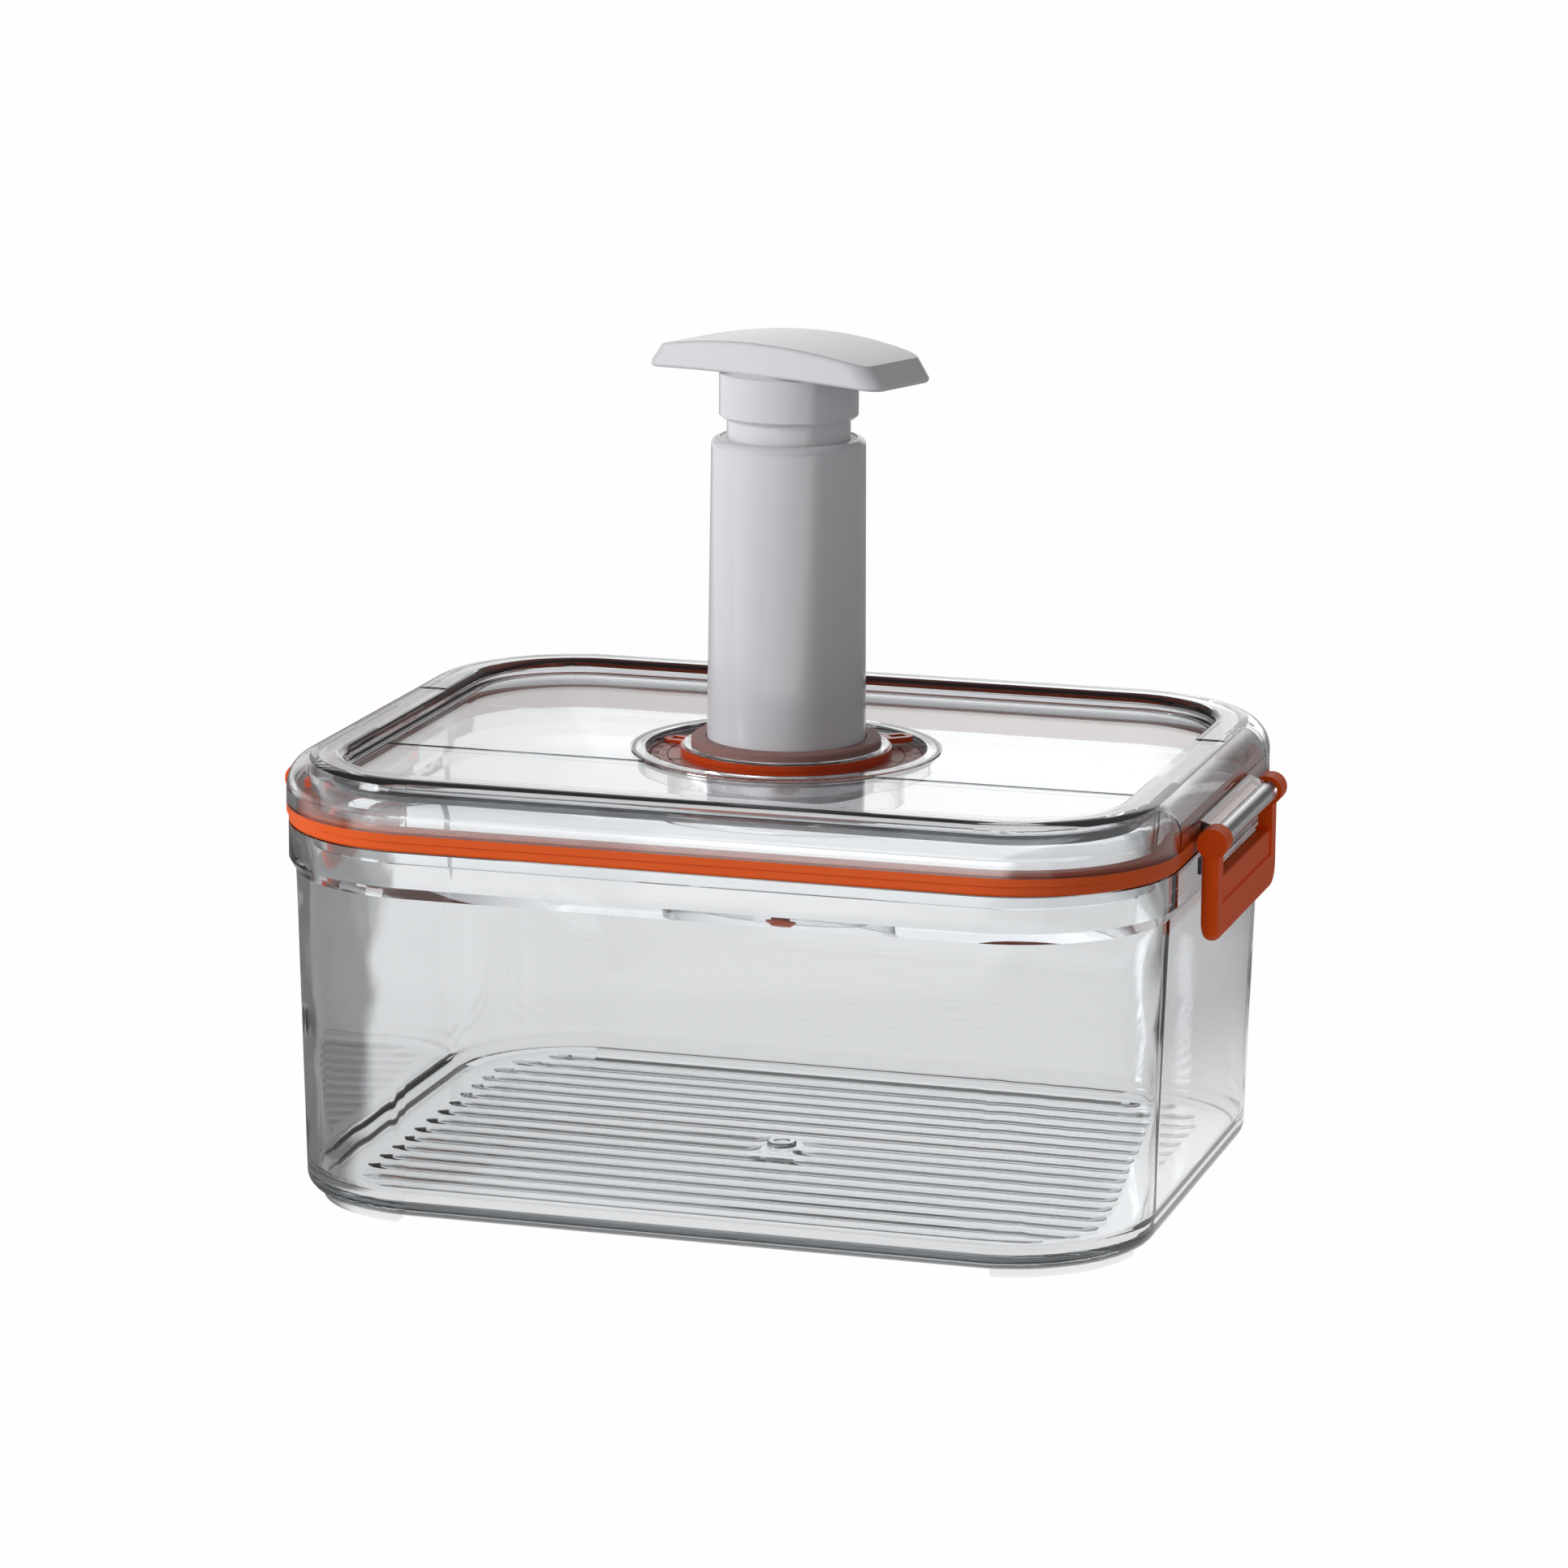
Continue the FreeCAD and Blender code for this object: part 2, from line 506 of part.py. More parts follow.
def valve_cup():
    """Clear cup in the lid: rim, dial seat, raised pump seat, valve well and splash guard."""
    stem_hole = PLUG_STEM_RADIUS + PLUG_STEM_SLACK
    inner = CUP_INNER_RADIUS
    deck_z = DIAL_SEAT_Z - CUP_WALL
    lip = SEAT_RADIUS + SEAT_LIP
    recess = FOOT_SEAL_RADIUS + SLACK
    under_lip_z = LIP_TOP_Z - SEAT_LIP_HEIGHT
    rim_under_z = CUP_RIM_Z - CUP_RIM_THICKNESS
    wall_end_z = CUP_RIM_Z - CUP_DEPTH
    guard_z = deck_z - GUARD_DEPTH
    well_outer = WELL_RADIUS + CUP_WALL
    well_under_z = WELL_FLOOR_Z - CUP_WALL
    cup = turned([
        (stem_hole, WELL_FLOOR_Z), (WELL_RADIUS, WELL_FLOOR_Z), (WELL_RADIUS, PUMP_SEAT_Z),
        (recess, PUMP_SEAT_Z), (recess, LIP_TOP_Z), (lip, LIP_TOP_Z), (lip, under_lip_z),
        (SEAT_RADIUS, under_lip_z), (SEAT_RADIUS, DIAL_SEAT_Z), (inner, DIAL_SEAT_Z), (inner, CUP_RIM_Z),
        (CUP_RIM_RADIUS, CUP_RIM_Z), (CUP_RIM_RADIUS, rim_under_z), (CUP_WALL_RADIUS, rim_under_z),
        (CUP_WALL_RADIUS, wall_end_z), (inner, wall_end_z), (inner, deck_z), (GUARD_RADIUS, deck_z),
        (GUARD_RADIUS, guard_z), (GUARD_RADIUS - GUARD_WALL, guard_z), (GUARD_RADIUS - GUARD_WALL, deck_z),
        (well_outer, deck_z), (well_outer, well_under_z), (stem_hole, well_under_z)])
    return drilled(cup, VENT_RADIUS, VENT_CIRCLE, VENT_COUNT, well_under_z, WELL_FLOOR_Z)


def cup_seal():
    """Flat ring between the cup's rim and its ledge in the lid."""
    inner = CUP_WALL_RADIUS + SLACK + CUP_SEAL_MARGIN
    outer = CUP_RIM_RADIUS - CUP_SEAL_MARGIN
    top = CUP_LEDGE_Z + CUP_SEAL_THICKNESS
    return turned([(inner, CUP_LEDGE_Z), (outer, CUP_LEDGE_Z), (outer, top), (inner, top)])


def dial_plate():
    """Flat ring that carries the printed numbers."""
    return turned([(DIAL_INNER_RADIUS, DIAL_SEAT_Z), (DIAL_OUTER_RADIUS, DIAL_SEAT_Z),
                   (DIAL_OUTER_RADIUS, DIAL_Z), (DIAL_INNER_RADIUS, DIAL_Z)])


def pointer(bottom, top, angle):
    """Ring round the pump seat with one tab that reaches over the dial and frames a number in its slot."""
    inner = SEAT_RADIUS + RUNNING_FIT
    outer = inner + POINTER_WALL
    half = TAB_WIDTH / 2
    tip = CUP_INNER_RADIUS - TAB_END_GAP
    ring = turned([(inner, bottom), (outer, bottom), (outer, top), (inner, top)])
    tab = block(inner + POINTER_WALL / 2, tip - half, half, bottom, top)
    end = Part.makeCylinder(half, top - bottom, Vector(tip - half, 0, bottom))
    core = Part.makeCylinder(inner, top - bottom + 2 * CUT, Vector(0, 0, bottom - CUT))
    slot_end = (outer + tip + TAB_SLOT_LENGTH) / 2
    slot = block(slot_end - TAB_SLOT_LENGTH, slot_end, TAB_SLOT_WIDTH / 2, bottom - CUT, top + CUT)
    shape = ring.fuse([tab, end]).cut([core, slot]).removeSplitter()
    shape.rotate(Vector(0, 0, 0), Vector(0, 0, 1), angle)
    return shape


def month_pointer():
    """Lower pointer ring."""
    bottom = DIAL_Z + SEAT_GAP
    return pointer(bottom, bottom + POINTER_THICKNESS, MONTH_ANGLE)


def day_pointer():
    """Upper pointer ring, held down by the seat's lip."""
    bottom = DIAL_Z + SEAT_GAP + POINTER_THICKNESS + SEAT_GAP
    top = LIP_TOP_Z - SEAT_LIP_HEIGHT - SEAT_GAP
    return pointer(bottom, top, DAY_ANGLE)


def valve_plug():
    """Silicone mushroom in the well: bulb below the floor, stem, sealing cap and pull knob."""
    under = WELL_FLOOR_Z + SEAT_GAP
    cap_top = under + PLUG_CAP_HEIGHT
    knob_top = cap_top + PLUG_KNOB_HEIGHT
    bulb_top = WELL_FLOOR_Z - CUP_WALL - PLUG_LIFT_ROOM
    bulb_z = bulb_top - PLUG_BULB_HEIGHT
    return turned([
        (0, bulb_z), (PLUG_STEM_RADIUS, bulb_z), (PLUG_BULB_RADIUS, bulb_top - PLUG_BULB_EDGE),
        (PLUG_BULB_RADIUS, bulb_top), (PLUG_STEM_RADIUS, bulb_top), (PLUG_STEM_RADIUS, under),
        (PLUG_CAP_RADIUS, under), (PLUG_CAP_RADIUS, under + PLUG_CAP_EDGE), (PLUG_NECK_RADIUS, cap_top),
        (PLUG_NECK_RADIUS, (cap_top + knob_top) / 2), (PLUG_KNOB_RADIUS, knob_top - PLUG_KNOB_EDGE),
        (PLUG_KNOB_RADIUS, knob_top - PLUG_KNOB_EDGE / 2), (PLUG_NECK_RADIUS, knob_top), (0, knob_top)])


def pump_barrel():
    """Drafted tube with a rounded mouth and a spigot for the soft foot."""
    counterbore = PUMP_BORE + BASE_STEP
    spigot_z = BARREL_Z - SPIGOT_HEIGHT
    tube = turned([
        (counterbore, spigot_z), (SPIGOT_RADIUS, spigot_z), (SPIGOT_RADIUS, BARREL_Z),
        (PUMP_FOOT_RADIUS, BARREL_Z), (PUMP_TOP_RADIUS, BARREL_TOP_Z), (PUMP_BORE, BARREL_TOP_Z),
        (PUMP_BORE, BASE_TOP_Z), (counterbore, BASE_TOP_Z)])
    mouth = [edge for edge in level_edges(tube, BARREL_TOP_Z)
             if edge.BoundBox.XMax > PUMP_BORE + PUMP_WALL / 2]
    return tube.makeFillet(min(PUMP_LIP, PUMP_WALL - PRESS_CLEARANCE), mouth)


def foot_seal():
    """Soft ring gripped on the barrel's spigot, with a lip round the barrel's lower edge."""
    inner = SPIGOT_RADIUS + PRESS_CLEARANCE
    lip_inner = PUMP_FOOT_RADIUS + SLACK
    top = FOOT_Z + FOOT_SEAL_HEIGHT
    outer_cut = FOOT_SEAL_RADIUS - FOOT_SEAL_EDGE
    return turned([
        (inner, FOOT_Z), (outer_cut, FOOT_Z), (FOOT_SEAL_RADIUS, FOOT_Z + FOOT_SEAL_EDGE),
        (FOOT_SEAL_RADIUS, top - FOOT_SEAL_EDGE), (outer_cut, top), (lip_inner, top), (lip_inner, BARREL_Z),
        (inner, BARREL_Z)])


def barrel_base():
    """End plate in the barrel's counterbore with a ring of inlet holes."""
    outer = PUMP_BORE + BASE_STEP - PRESS_CLEARANCE
    bottom = BASE_TOP_Z - BASE_THICKNESS
    stem_hole = INLET_STEM_RADIUS + PRESS_CLEARANCE
    plate = turned([(stem_hole, bottom), (outer, bottom), (outer, BASE_TOP_Z), (stem_hole, BASE_TOP_Z)])
    return drilled(plate, INLET_HOLE_RADIUS, INLET_HOLE_CIRCLE, INLET_HOLE_COUNT, bottom, BASE_TOP_Z)


def inlet_valve():
    """Rubber flap over the inlet holes, held by a bulb under the base plate."""
    under = BASE_TOP_Z + PRESS_CLEARANCE
    bulb_top = BASE_TOP_Z - BASE_THICKNESS - PRESS_CLEARANCE
    bulb_z = bulb_top - INLET_BULB_HEIGHT
    return turned([
        (0, bulb_z), (INLET_STEM_RADIUS, bulb_z), (INLET_BULB_RADIUS, bulb_top),
        (INLET_STEM_RADIUS, bulb_top), (INLET_STEM_RADIUS, under), (INLET_CAP_RADIUS, under),
        (INLET_CAP_RADIUS, under + INLET_CAP_THICKNESS / 2), (INLET_STEM_RADIUS, INLET_TOP_Z),
        (0, INLET_TOP_Z)])


def guide_bush():
    """Bush in the barrel's mouth that the plunger tube slides in."""
    inner = PLUNGER_RADIUS + RUNNING_FIT
    outer = PUMP_BORE - PRESS_CLEARANCE
    top = BARREL_TOP_Z - BUSH_SINK
    bottom = top - BUSH_HEIGHT
    return turned([(inner, bottom), (outer, bottom), (outer, top), (inner, top)])


def plunger_tube():
    """Tube from the piston up into the handle's stem, with a web and a screw boss at its foot."""
    bore = PLUNGER_RADIUS - PLUNGER_WALL
    boss_top = WEB_TOP_Z + PLUNGER_BOSS_HEIGHT
    top = HANDLE_Z - PRESS_CLEARANCE
    screw_hole = SCREW_RADIUS + PRESS_CLEARANCE
    tube = turned([
        (screw_hole, PISTON_TOP_Z), (PLUNGER_RADIUS, PISTON_TOP_Z), (PLUNGER_RADIUS, top), (bore, top),
        (bore, WEB_TOP_Z), (PLUNGER_BOSS_RADIUS, WEB_TOP_Z), (PLUNGER_BOSS_RADIUS, boss_top),
        (screw_hole, boss_top)])
    return drilled(tube, EXHAUST_HOLE_RADIUS, EXHAUST_HOLE_CIRCLE, EXHAUST_HOLE_COUNT,
                   PISTON_TOP_Z, WEB_TOP_Z)


def piston_head():
    """Grooved piston with a recess for the screw's head and a ring of exhaust holes."""
    shank = SCREW_RADIUS + PRESS_CLEARANCE
    head = SCREW_HEAD_RADIUS + PRESS_CLEARANCE
    head_top = PISTON_Z + SCREW_RECESS + SCREW_HEAD_HEIGHT
    groove_z = PISTON_Z + GROOVE_BOTTOM
    groove_top = groove_z + GROOVE_HEIGHT
    root = PISTON_RADIUS - GROOVE_DEPTH
    piston = turned([
        (head, PISTON_Z), (PISTON_RADIUS, PISTON_Z), (PISTON_RADIUS, groove_z), (root, groove_z),
        (root, groove_top), (PISTON_RADIUS, groove_top), (PISTON_RADIUS, PISTON_TOP_Z), (shank, PISTON_TOP_Z),
        (shank, head_top), (head, head_top)])
    return drilled(piston, EXHAUST_HOLE_RADIUS, EXHAUST_HOLE_CIRCLE, EXHAUST_HOLE_COUNT,
                   PISTON_Z, PISTON_TOP_Z)


def piston_seal():
    """Ring in the piston's groove that runs in the bore."""
    inner = PISTON_RADIUS - GROOVE_DEPTH + PRESS_CLEARANCE
    outer = PUMP_BORE - RUNNING_FIT
    bottom = PISTON_Z + GROOVE_BOTTOM + PRESS_CLEARANCE
    top = bottom + GROOVE_HEIGHT - 2 * PRESS_CLEARANCE
    relief = (outer - PISTON_RADIUS) * 2
    return turned([(inner, bottom), (outer - relief, bottom), (outer, bottom + relief), (outer, top - relief),
                   (outer - relief, top), (inner, top)])


def exhaust_valve():
    """Rubber ring flap over the exhaust holes, round the plunger's boss."""
    inner = PLUNGER_BOSS_RADIUS + PRESS_CLEARANCE
    bottom = WEB_TOP_Z + PRESS_CLEARANCE
    top = bottom + EXHAUST_THICKNESS
    return turned([(inner, bottom), (EXHAUST_RADIUS, bottom),
                   (EXHAUST_RADIUS, bottom + EXHAUST_THICKNESS / 2), (inner, top)])


def piston_screw():
    """Screw from below through the piston into the plunger's boss."""
    head_z = PISTON_Z + SCREW_RECESS
    head_top = head_z + SCREW_HEAD_HEIGHT
    tip = WEB_TOP_Z + SCREW_BITE
    drive_z = head_z + SCREW_DRIVE_DEPTH
    return turned([
        (0, drive_z), (SCREW_DRIVE_RADIUS, drive_z), (SCREW_DRIVE_RADIUS, head_z),
        (SCREW_HEAD_RADIUS, head_z), (SCREW_HEAD_RADIUS, head_top), (SCREW_RADIUS, head_top),
        (SCREW_RADIUS, tip - SCREW_RADIUS), (0, tip)])


def sag(reach, half, rise):
    """How far an arc that drops by rise at half has dropped at reach."""
    radius = (half ** 2 + rise ** 2) / (2 * rise)
    return radius - math.sqrt(radius ** 2 - reach ** 2)


def handle_bar():
    """Arched T bar: it swells in the middle, between sloping ends, under a crowned top and over an arch."""
    half = HANDLE_LENGTH / 2
    middle = HANDLE_MIDDLE_WIDTH / 2
    far = half + 2 * HANDLE_BEVEL
    low = HANDLE_Z - HANDLE_END_THICKNESS
    top = HANDLE_Z + HANDLE_END_THICKNESS
    high = top + HANDLE_END_THICKNESS
    end = middle - sag(far, half, middle - HANDLE_END_WIDTH / 2)
    sides = [Part.Arc(Vector(-far, -end, low), Vector(0, -middle, low), Vector(far, -end, low)).toShape(),
             Part.makeLine(Vector(far, -end, low), Vector(far, end, low)),
             Part.Arc(Vector(far, end, low), Vector(0, middle, low), Vector(-far, end, low)).toShape(),
             Part.makeLine(Vector(-far, end, low), Vector(-far, -end, low))]
    plan = Part.Face(Part.Wire(sides)).extrude(Vector(0, 0, high - low))
    foot = half + HANDLE_BEVEL
    head = half - 2 * HANDLE_BEVEL
    slopes = Part.makePolygon([Vector(-foot, -middle, low), Vector(foot, -middle, low),
                               Vector(head, -middle, high), Vector(-head, -middle, high),
                               Vector(-foot, -middle, low)])
    wedge = plan.common(Part.Face(slopes).extrude(Vector(0, 2 * middle, 0)))
    corners = [edge for edge in wedge.Edges if edge.BoundBox.ZLength > top - low]
    wedge = wedge.makeFillet(HANDLE_CORNER, corners)
    arch = HANDLE_Z + HANDLE_ARCH
    crown = top + HANDLE_CROWN
    arch_end = arch - sag(far, half, HANDLE_ARCH)
    crown_end = crown - sag(far, half - HANDLE_BEVEL, HANDLE_CROWN)
    rims = [Part.Arc(Vector(-far, -middle, arch_end), Vector(0, -middle, arch),
                     Vector(far, -middle, arch_end)).toShape(),
            Part.makeLine(Vector(far, -middle, arch_end), Vector(far, -middle, crown_end)),
            Part.Arc(Vector(far, -middle, crown_end), Vector(0, -middle, crown),
                     Vector(-far, -middle, crown_end)).toShape(),
            Part.makeLine(Vector(-far, -middle, crown_end), Vector(-far, -middle, arch_end))]
    bar = wedge.common(Part.Face(Part.Wire(rims)).extrude(Vector(0, 2 * middle, 0)))
    rim_rise = max(HANDLE_CROWN, HANDLE_ARCH)
    return bar.makeFillet(HANDLE_EDGE, [edge for edge in bar.Edges if edge.BoundBox.ZLength < rim_rise])


def pump_handle():
    """T handle with a round stem that sockets over the plunger tube."""
    socket = PLUNGER_RADIUS + PRESS_CLEARANCE
    stem_top = HANDLE_Z + HANDLE_END_THICKNESS / 2
    stem = turned([(0, HANDLE_Z), (socket, HANDLE_Z), (socket, STEM_Z), (STEM_RADIUS - STEM_EDGE, STEM_Z),
                   (STEM_RADIUS, STEM_Z + STEM_EDGE), (STEM_RADIUS, HANDLE_Z + HANDLE_ARCH / 2),
                   (HANDLE_END_WIDTH / 2, stem_top), (0, stem_top)])
    shape = handle_bar().fuse(stem).removeSplitter()
    shape.rotate(Vector(0, 0, 0), Vector(0, 0, 1), HANDLE_TURN)
    return shape


RIGHT_CATCH = catch()
RIGHT_LATCH = latch()
RIGHT_PIN = hinge_pin()

PIECES = {
    "tub": tub(),
    "catch_right": RIGHT_CATCH,
    "catch_left": mirrored(RIGHT_CATCH),
    "lid": lid(),
    "lid_gasket": lid_gasket(),
    "latch_right": RIGHT_LATCH,
    "latch_left": mirrored(RIGHT_LATCH),
    "hinge_pin_right": RIGHT_PIN,
    "hinge_pin_left": mirrored(RIGHT_PIN),
    "valve_cup": valve_cup(),
    "cup_seal": cup_seal(),
    "dial_plate": dial_plate(),
    "month_pointer": month_pointer(),
    "day_pointer": day_pointer(),
    "valve_plug": valve_plug(),
    "pump_barrel": pump_barrel(),
    "foot_seal": foot_seal(),
    "barrel_base": barrel_base(),
    "inlet_valve": inlet_valve(),
    "guide_bush": guide_bush(),
    "plunger_tube": plunger_tube(),
    "piston_head": piston_head(),
    "piston_seal": piston_seal(),
    "exhaust_valve": exhaust_valve(),
    "piston_screw": piston_screw(),
    "pump_handle": pump_handle(),
}

os.makedirs("parts", exist_ok=True)
for name, shape in PIECES.items():
    shape.exportStep("parts/" + name + ".step")
    print(name, "valid" if shape.isValid() else "INVALID", len(shape.Solids), round(shape.Volume, 1))
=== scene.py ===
"""Looks of the vacuum seal canister: its finishes, ribbed floor, gasket lip, printed dial and studio.

Metres, +Z up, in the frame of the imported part. Sizes written in millimetres are turned to metres by MM.
"""
import math

import bmesh
import bpy
import numpy as np
from bpy.props import FloatProperty, FloatVectorProperty, IntProperty, PointerProperty
from mathutils import Matrix, Vector


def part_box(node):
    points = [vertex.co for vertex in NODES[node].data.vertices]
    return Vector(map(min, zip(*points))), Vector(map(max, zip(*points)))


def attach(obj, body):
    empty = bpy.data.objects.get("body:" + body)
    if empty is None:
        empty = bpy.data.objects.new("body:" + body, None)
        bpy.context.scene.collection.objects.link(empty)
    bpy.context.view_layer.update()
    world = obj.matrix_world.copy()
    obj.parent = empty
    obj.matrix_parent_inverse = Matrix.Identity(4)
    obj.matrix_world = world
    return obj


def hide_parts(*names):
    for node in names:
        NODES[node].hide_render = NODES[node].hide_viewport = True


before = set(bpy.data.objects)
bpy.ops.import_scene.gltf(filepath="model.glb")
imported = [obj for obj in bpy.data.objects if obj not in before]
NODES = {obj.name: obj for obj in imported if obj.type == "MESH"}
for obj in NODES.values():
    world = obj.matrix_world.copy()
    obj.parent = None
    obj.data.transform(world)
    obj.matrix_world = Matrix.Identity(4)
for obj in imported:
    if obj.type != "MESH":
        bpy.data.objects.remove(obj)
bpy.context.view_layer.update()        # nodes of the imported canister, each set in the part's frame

bl_info = {
    "name": "Vacuum Seal Canister",
    "version": (1, 0, 0),
    "blender": (4, 5, 0),
    "location": "View3D > Sidebar > Canister",
    "description": "Dresses the packed canister with finishes, a ribbed floor, a printed dial and a studio",
    "category": "Object",
}

MM = 0.001
SENSOR_WIDTH = 36.0      # millimetres
DIAL_RADIUS, _, DIAL_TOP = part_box("dial_plate")[1]
CAP_SHARE = 0.69         # height of a numeral as a share of the type's size
BOLD = 0.06 * MM         # how far the strokes of the numerals are thickened on each side
RING_STEPS = 160         # places round a printed ring
CORNER_STEPS = 120       # places round one corner of the gasket's lip
RIB_RINGS = 7            # rings from a rib's foot to its crown
RIB_END_STEPS = 9        # places round one end of a rib
CROWN = math.radians(82)  # where a rib's round section ends in a flat crown
GATE_STEPS = 40          # places round the gate mark
GATE_CLEARING = 0.4 * MM  # between the gate mark and the rib ends beside it
BEVEL_PARTS = 5          # a bevel of the gate mark is one of this many parts of its ring's width
MERGED = 2e-6            # places closer than this are one
LEVEL_SHARE = 0.9999     # a face whose normal points up by more than this is level
SHARP = math.radians(25)  # edges that turn by more than this stay sharp
FLOW_WAVE = 26 * MM      # size of the waviness in the clear plastic
COLOUR_DRIFT = 14 * MM   # size of the patches in which an opaque colour drifts
GRIT_HEIGHT = 0.03 * MM  # height of the tool's texture
GLOSS_SPREAD = 0.15      # share by which the grit moves the roughness up and down
SCATTER_DEPTH = 1.2 * MM  # how far light spreads under an opaque skin
SHEET_HALF = 6.0         # middle of the floor to its edges
DARK_BAND_SLANT = math.radians(4.03)  # start of the painted grey band on the left, off the line of sight
CAMERA_SHARE = 0.985     # of the floor that the camera sees as plain white, the rest takes shadow
TICK_CORNERS = np.array([[x, y, z] for z in (-0.5, 0.5) for y in (-0.5, 0.5) for x in (-0.5, 0.5)])
TICK_FACES = np.array([[0, 2, 3], [0, 3, 1], [4, 5, 7], [4, 7, 6], [0, 1, 5], [0, 5, 4],
                       [2, 6, 7], [2, 7, 3], [0, 4, 6], [0, 6, 2], [1, 3, 7], [1, 7, 5]])


def linear(code):
    """A hex colour in sRGB as linear red, green, blue and full alpha."""
    parts = np.array([int(code[i:i + 2], 16) / 255 for i in (1, 3, 5)])
    values = np.where(parts <= 0.04045, parts / 12.92, ((parts + 0.055) / 1.055) ** 2.4)
    return (*values.tolist(), 1.0)


WHITE = linear("#FFFFFF")
PAPER = linear("#F4F4F4")


def colour(name, description, code):
    """A colour property that starts from a hex value."""
    return FloatVectorProperty(name=name, description=description, subtype="COLOR", size=4,
                               min=0.0, max=1.0, default=linear(code))


def length(name, description, millimetres):
    """A length property that starts from millimetres."""
    return FloatProperty(name=name, description=description, unit="LENGTH", default=millimetres * MM)


def angle(name, description, degrees):
    """An angle property that starts from degrees."""
    return FloatProperty(name=name, description=description, subtype="ANGLE", default=math.radians(degrees))


class CanisterColours(bpy.types.PropertyGroup):
    """Colours of the canister's finishes."""

    clear: colour("Clear plastic", "What the clear walls let through", "#FBFCFD")
    clear_depth: colour("Clear plastic's depth", "Tint that builds up in thick edges", "#8A9196")
    silicone: colour("Gasket silicone", "Seal between lid and box, and the valve plug", "#E6590E")
    latch: colour("Latch plastic", "Both latches", "#FA5A10")
    pump: colour("Pump plastic", "Barrel, plunger and handle", "#DADADF")
    bush: colour("Guide bush", "Bush in the barrel's mouth", "#E4E3DF")
    foot: colour("Pump foot", "Soft ring that the pump stands on", "#9A746F")
    rubber: colour("Seal rubber", "Valve flaps and piston ring", "#2A2A2C")
    steel: colour("Steel", "Hinge pins and screw", "#5C5656")
    pointer: colour("Pointer plastic", "Date pointers", "#C4400F")
    # Partly the plate's own pink, partly a painted reflection of the pump and orange ring: darker, pinker
    dial: colour("Dial plate", "Ground that the numbers are printed on", "#C08983")
    ink: colour("Dial print", "Numbers, ticks and rings of the date dial", "#5E170F")


class CanisterFloor(bpy.types.PropertyGroup):
    """Ribs and gate mark moulded on the box's floor."""

    level: length("Floor height", "Top of the floor above the table", 5.2)
    relief: length("Tallest relief", "No mark on the floor stands higher", 2.0)
    edge: length("Floor's corner", "Radius at the corners of its flat part", 29.0)
    margin: length("Bare edge", "Flat part's edge to where marks may begin", 1.5)
    pitch: length("Rib pitch", "Middle of one rib to the next", 8.92)
    count: IntProperty(name="Ribs", description="Ribs over the floor's depth", default=16, min=1)
    width: length("Rib width", "Across one rib at its foot", 7.4)
    height: length("Rib height", "Crown of a rib above the floor", 0.62)
    half_length: length("Field's half length", "Middle of the floor to the ends of the ribs", 94.4)
    half_depth: length("Field's half depth", "Middle of the floor to the field's front edge", 76.0)
    corner: length("Field's corner", "Radius at the corners of the ribbed field", 25.0)
    gate_radius: length("Gate radius", "Raised ring in the middle, where the melt came in", 3.8)
    gate_height: length("Gate height", "Top of that ring above the floor", 1.2)
    dimple_radius: length("Dimple radius", "Hollow in that ring", 1.8)


class CanisterLip(bpy.types.PropertyGroup):
    """Thin lip of the gasket that turns up over the lid's lower edge."""

    half_length: length("Lid's half length", "Middle of the lid to its short side", 113.0)
    half_depth: length("Lid's half depth", "Middle of the lid to its long side", 89.5)
    corner: length("Lid's corner", "Radius of the lid's corners", 41.5)
    edge: length("Lid's edge", "Lower edge of the lid above the table", 98.6)
    height: length("Lip's height", "How far the lip reaches up the lid", 1.4)
    drop: length("Lip's root", "How far the lip starts below the lid's edge", 0.5)
    proud: length("Lip's film", "How far the lip stands off the lid", 0.005)
    depth: length("Lip's depth", "How far the lip sits in the lid's wall", 0.4)


class CanisterDial(bpy.types.PropertyGroup):
    """Layout of the print on the date dial."""

    days: IntProperty(name="Days", description="Numbers in the outer row", default=31, min=1)
    months: IntProperty(name="Months", description="Numbers in the inner row", default=12, min=1)
    day_radius: length("Day row", "Radius of the outer row", 33.3)
    month_radius: length("Month row", "Radius of the inner row", 28.5)
    tick_radius: length("Tick row", "Radius of the middle of the ticks", 31.0)
    day_size: length("Day type", "Height of the outer numbers", 2.7)
    month_size: length("Month type", "Height of the inner numbers", 3.2)
    tick_length: length("Tick length", "Length of a tick along the radius", 1.1)
    line: length("Line width", "Width of ticks and rings", 0.5)
    ink: length("Ink thickness", "How far the print stands on the plate", 0.03)


class CanisterStage(bpy.types.PropertyGroup):
    """Camera and studio."""

    azimuth: angle("Azimuth", "Camera's turn to the right of the front", 16.32)
    elevation: angle("Elevation", "Camera's height above the horizon", 12.38)
    roll: angle("Roll", "Camera's turn about its own line of sight", 0.45)
    distance: length("Distance", "Camera to the point it looks at", 1579.7)
    aim_height: length("Aim height", "Height of the point the camera looks at", 98.93)
    aim_side: length("Aim side", "That point's shift to the camera's right", -0.48)
    lens: FloatProperty(name="Focal length", description="Lens on a full-frame sensor, in millimetres",
                        unit="CAMERA", default=144.0)


def add(tree, kind, links=None, values=None, **settings):
    """Adds a node with its own settings, the values of its sockets and the links into them."""
    made = tree.nodes.new(kind)
    for name, value in settings.items():
        setattr(made, name, value)
    for socket, value in (values or {}).items():
        made.inputs[socket].default_value = value
    for socket, source in (links or {}).items():
        tree.links.new(source, made.inputs[socket])
    return made


def blank(name):
    """A new material with an empty node tree."""
    made = bpy.data.materials.new(name)
    made.use_nodes = True
    made.node_tree.nodes.clear()
    return made


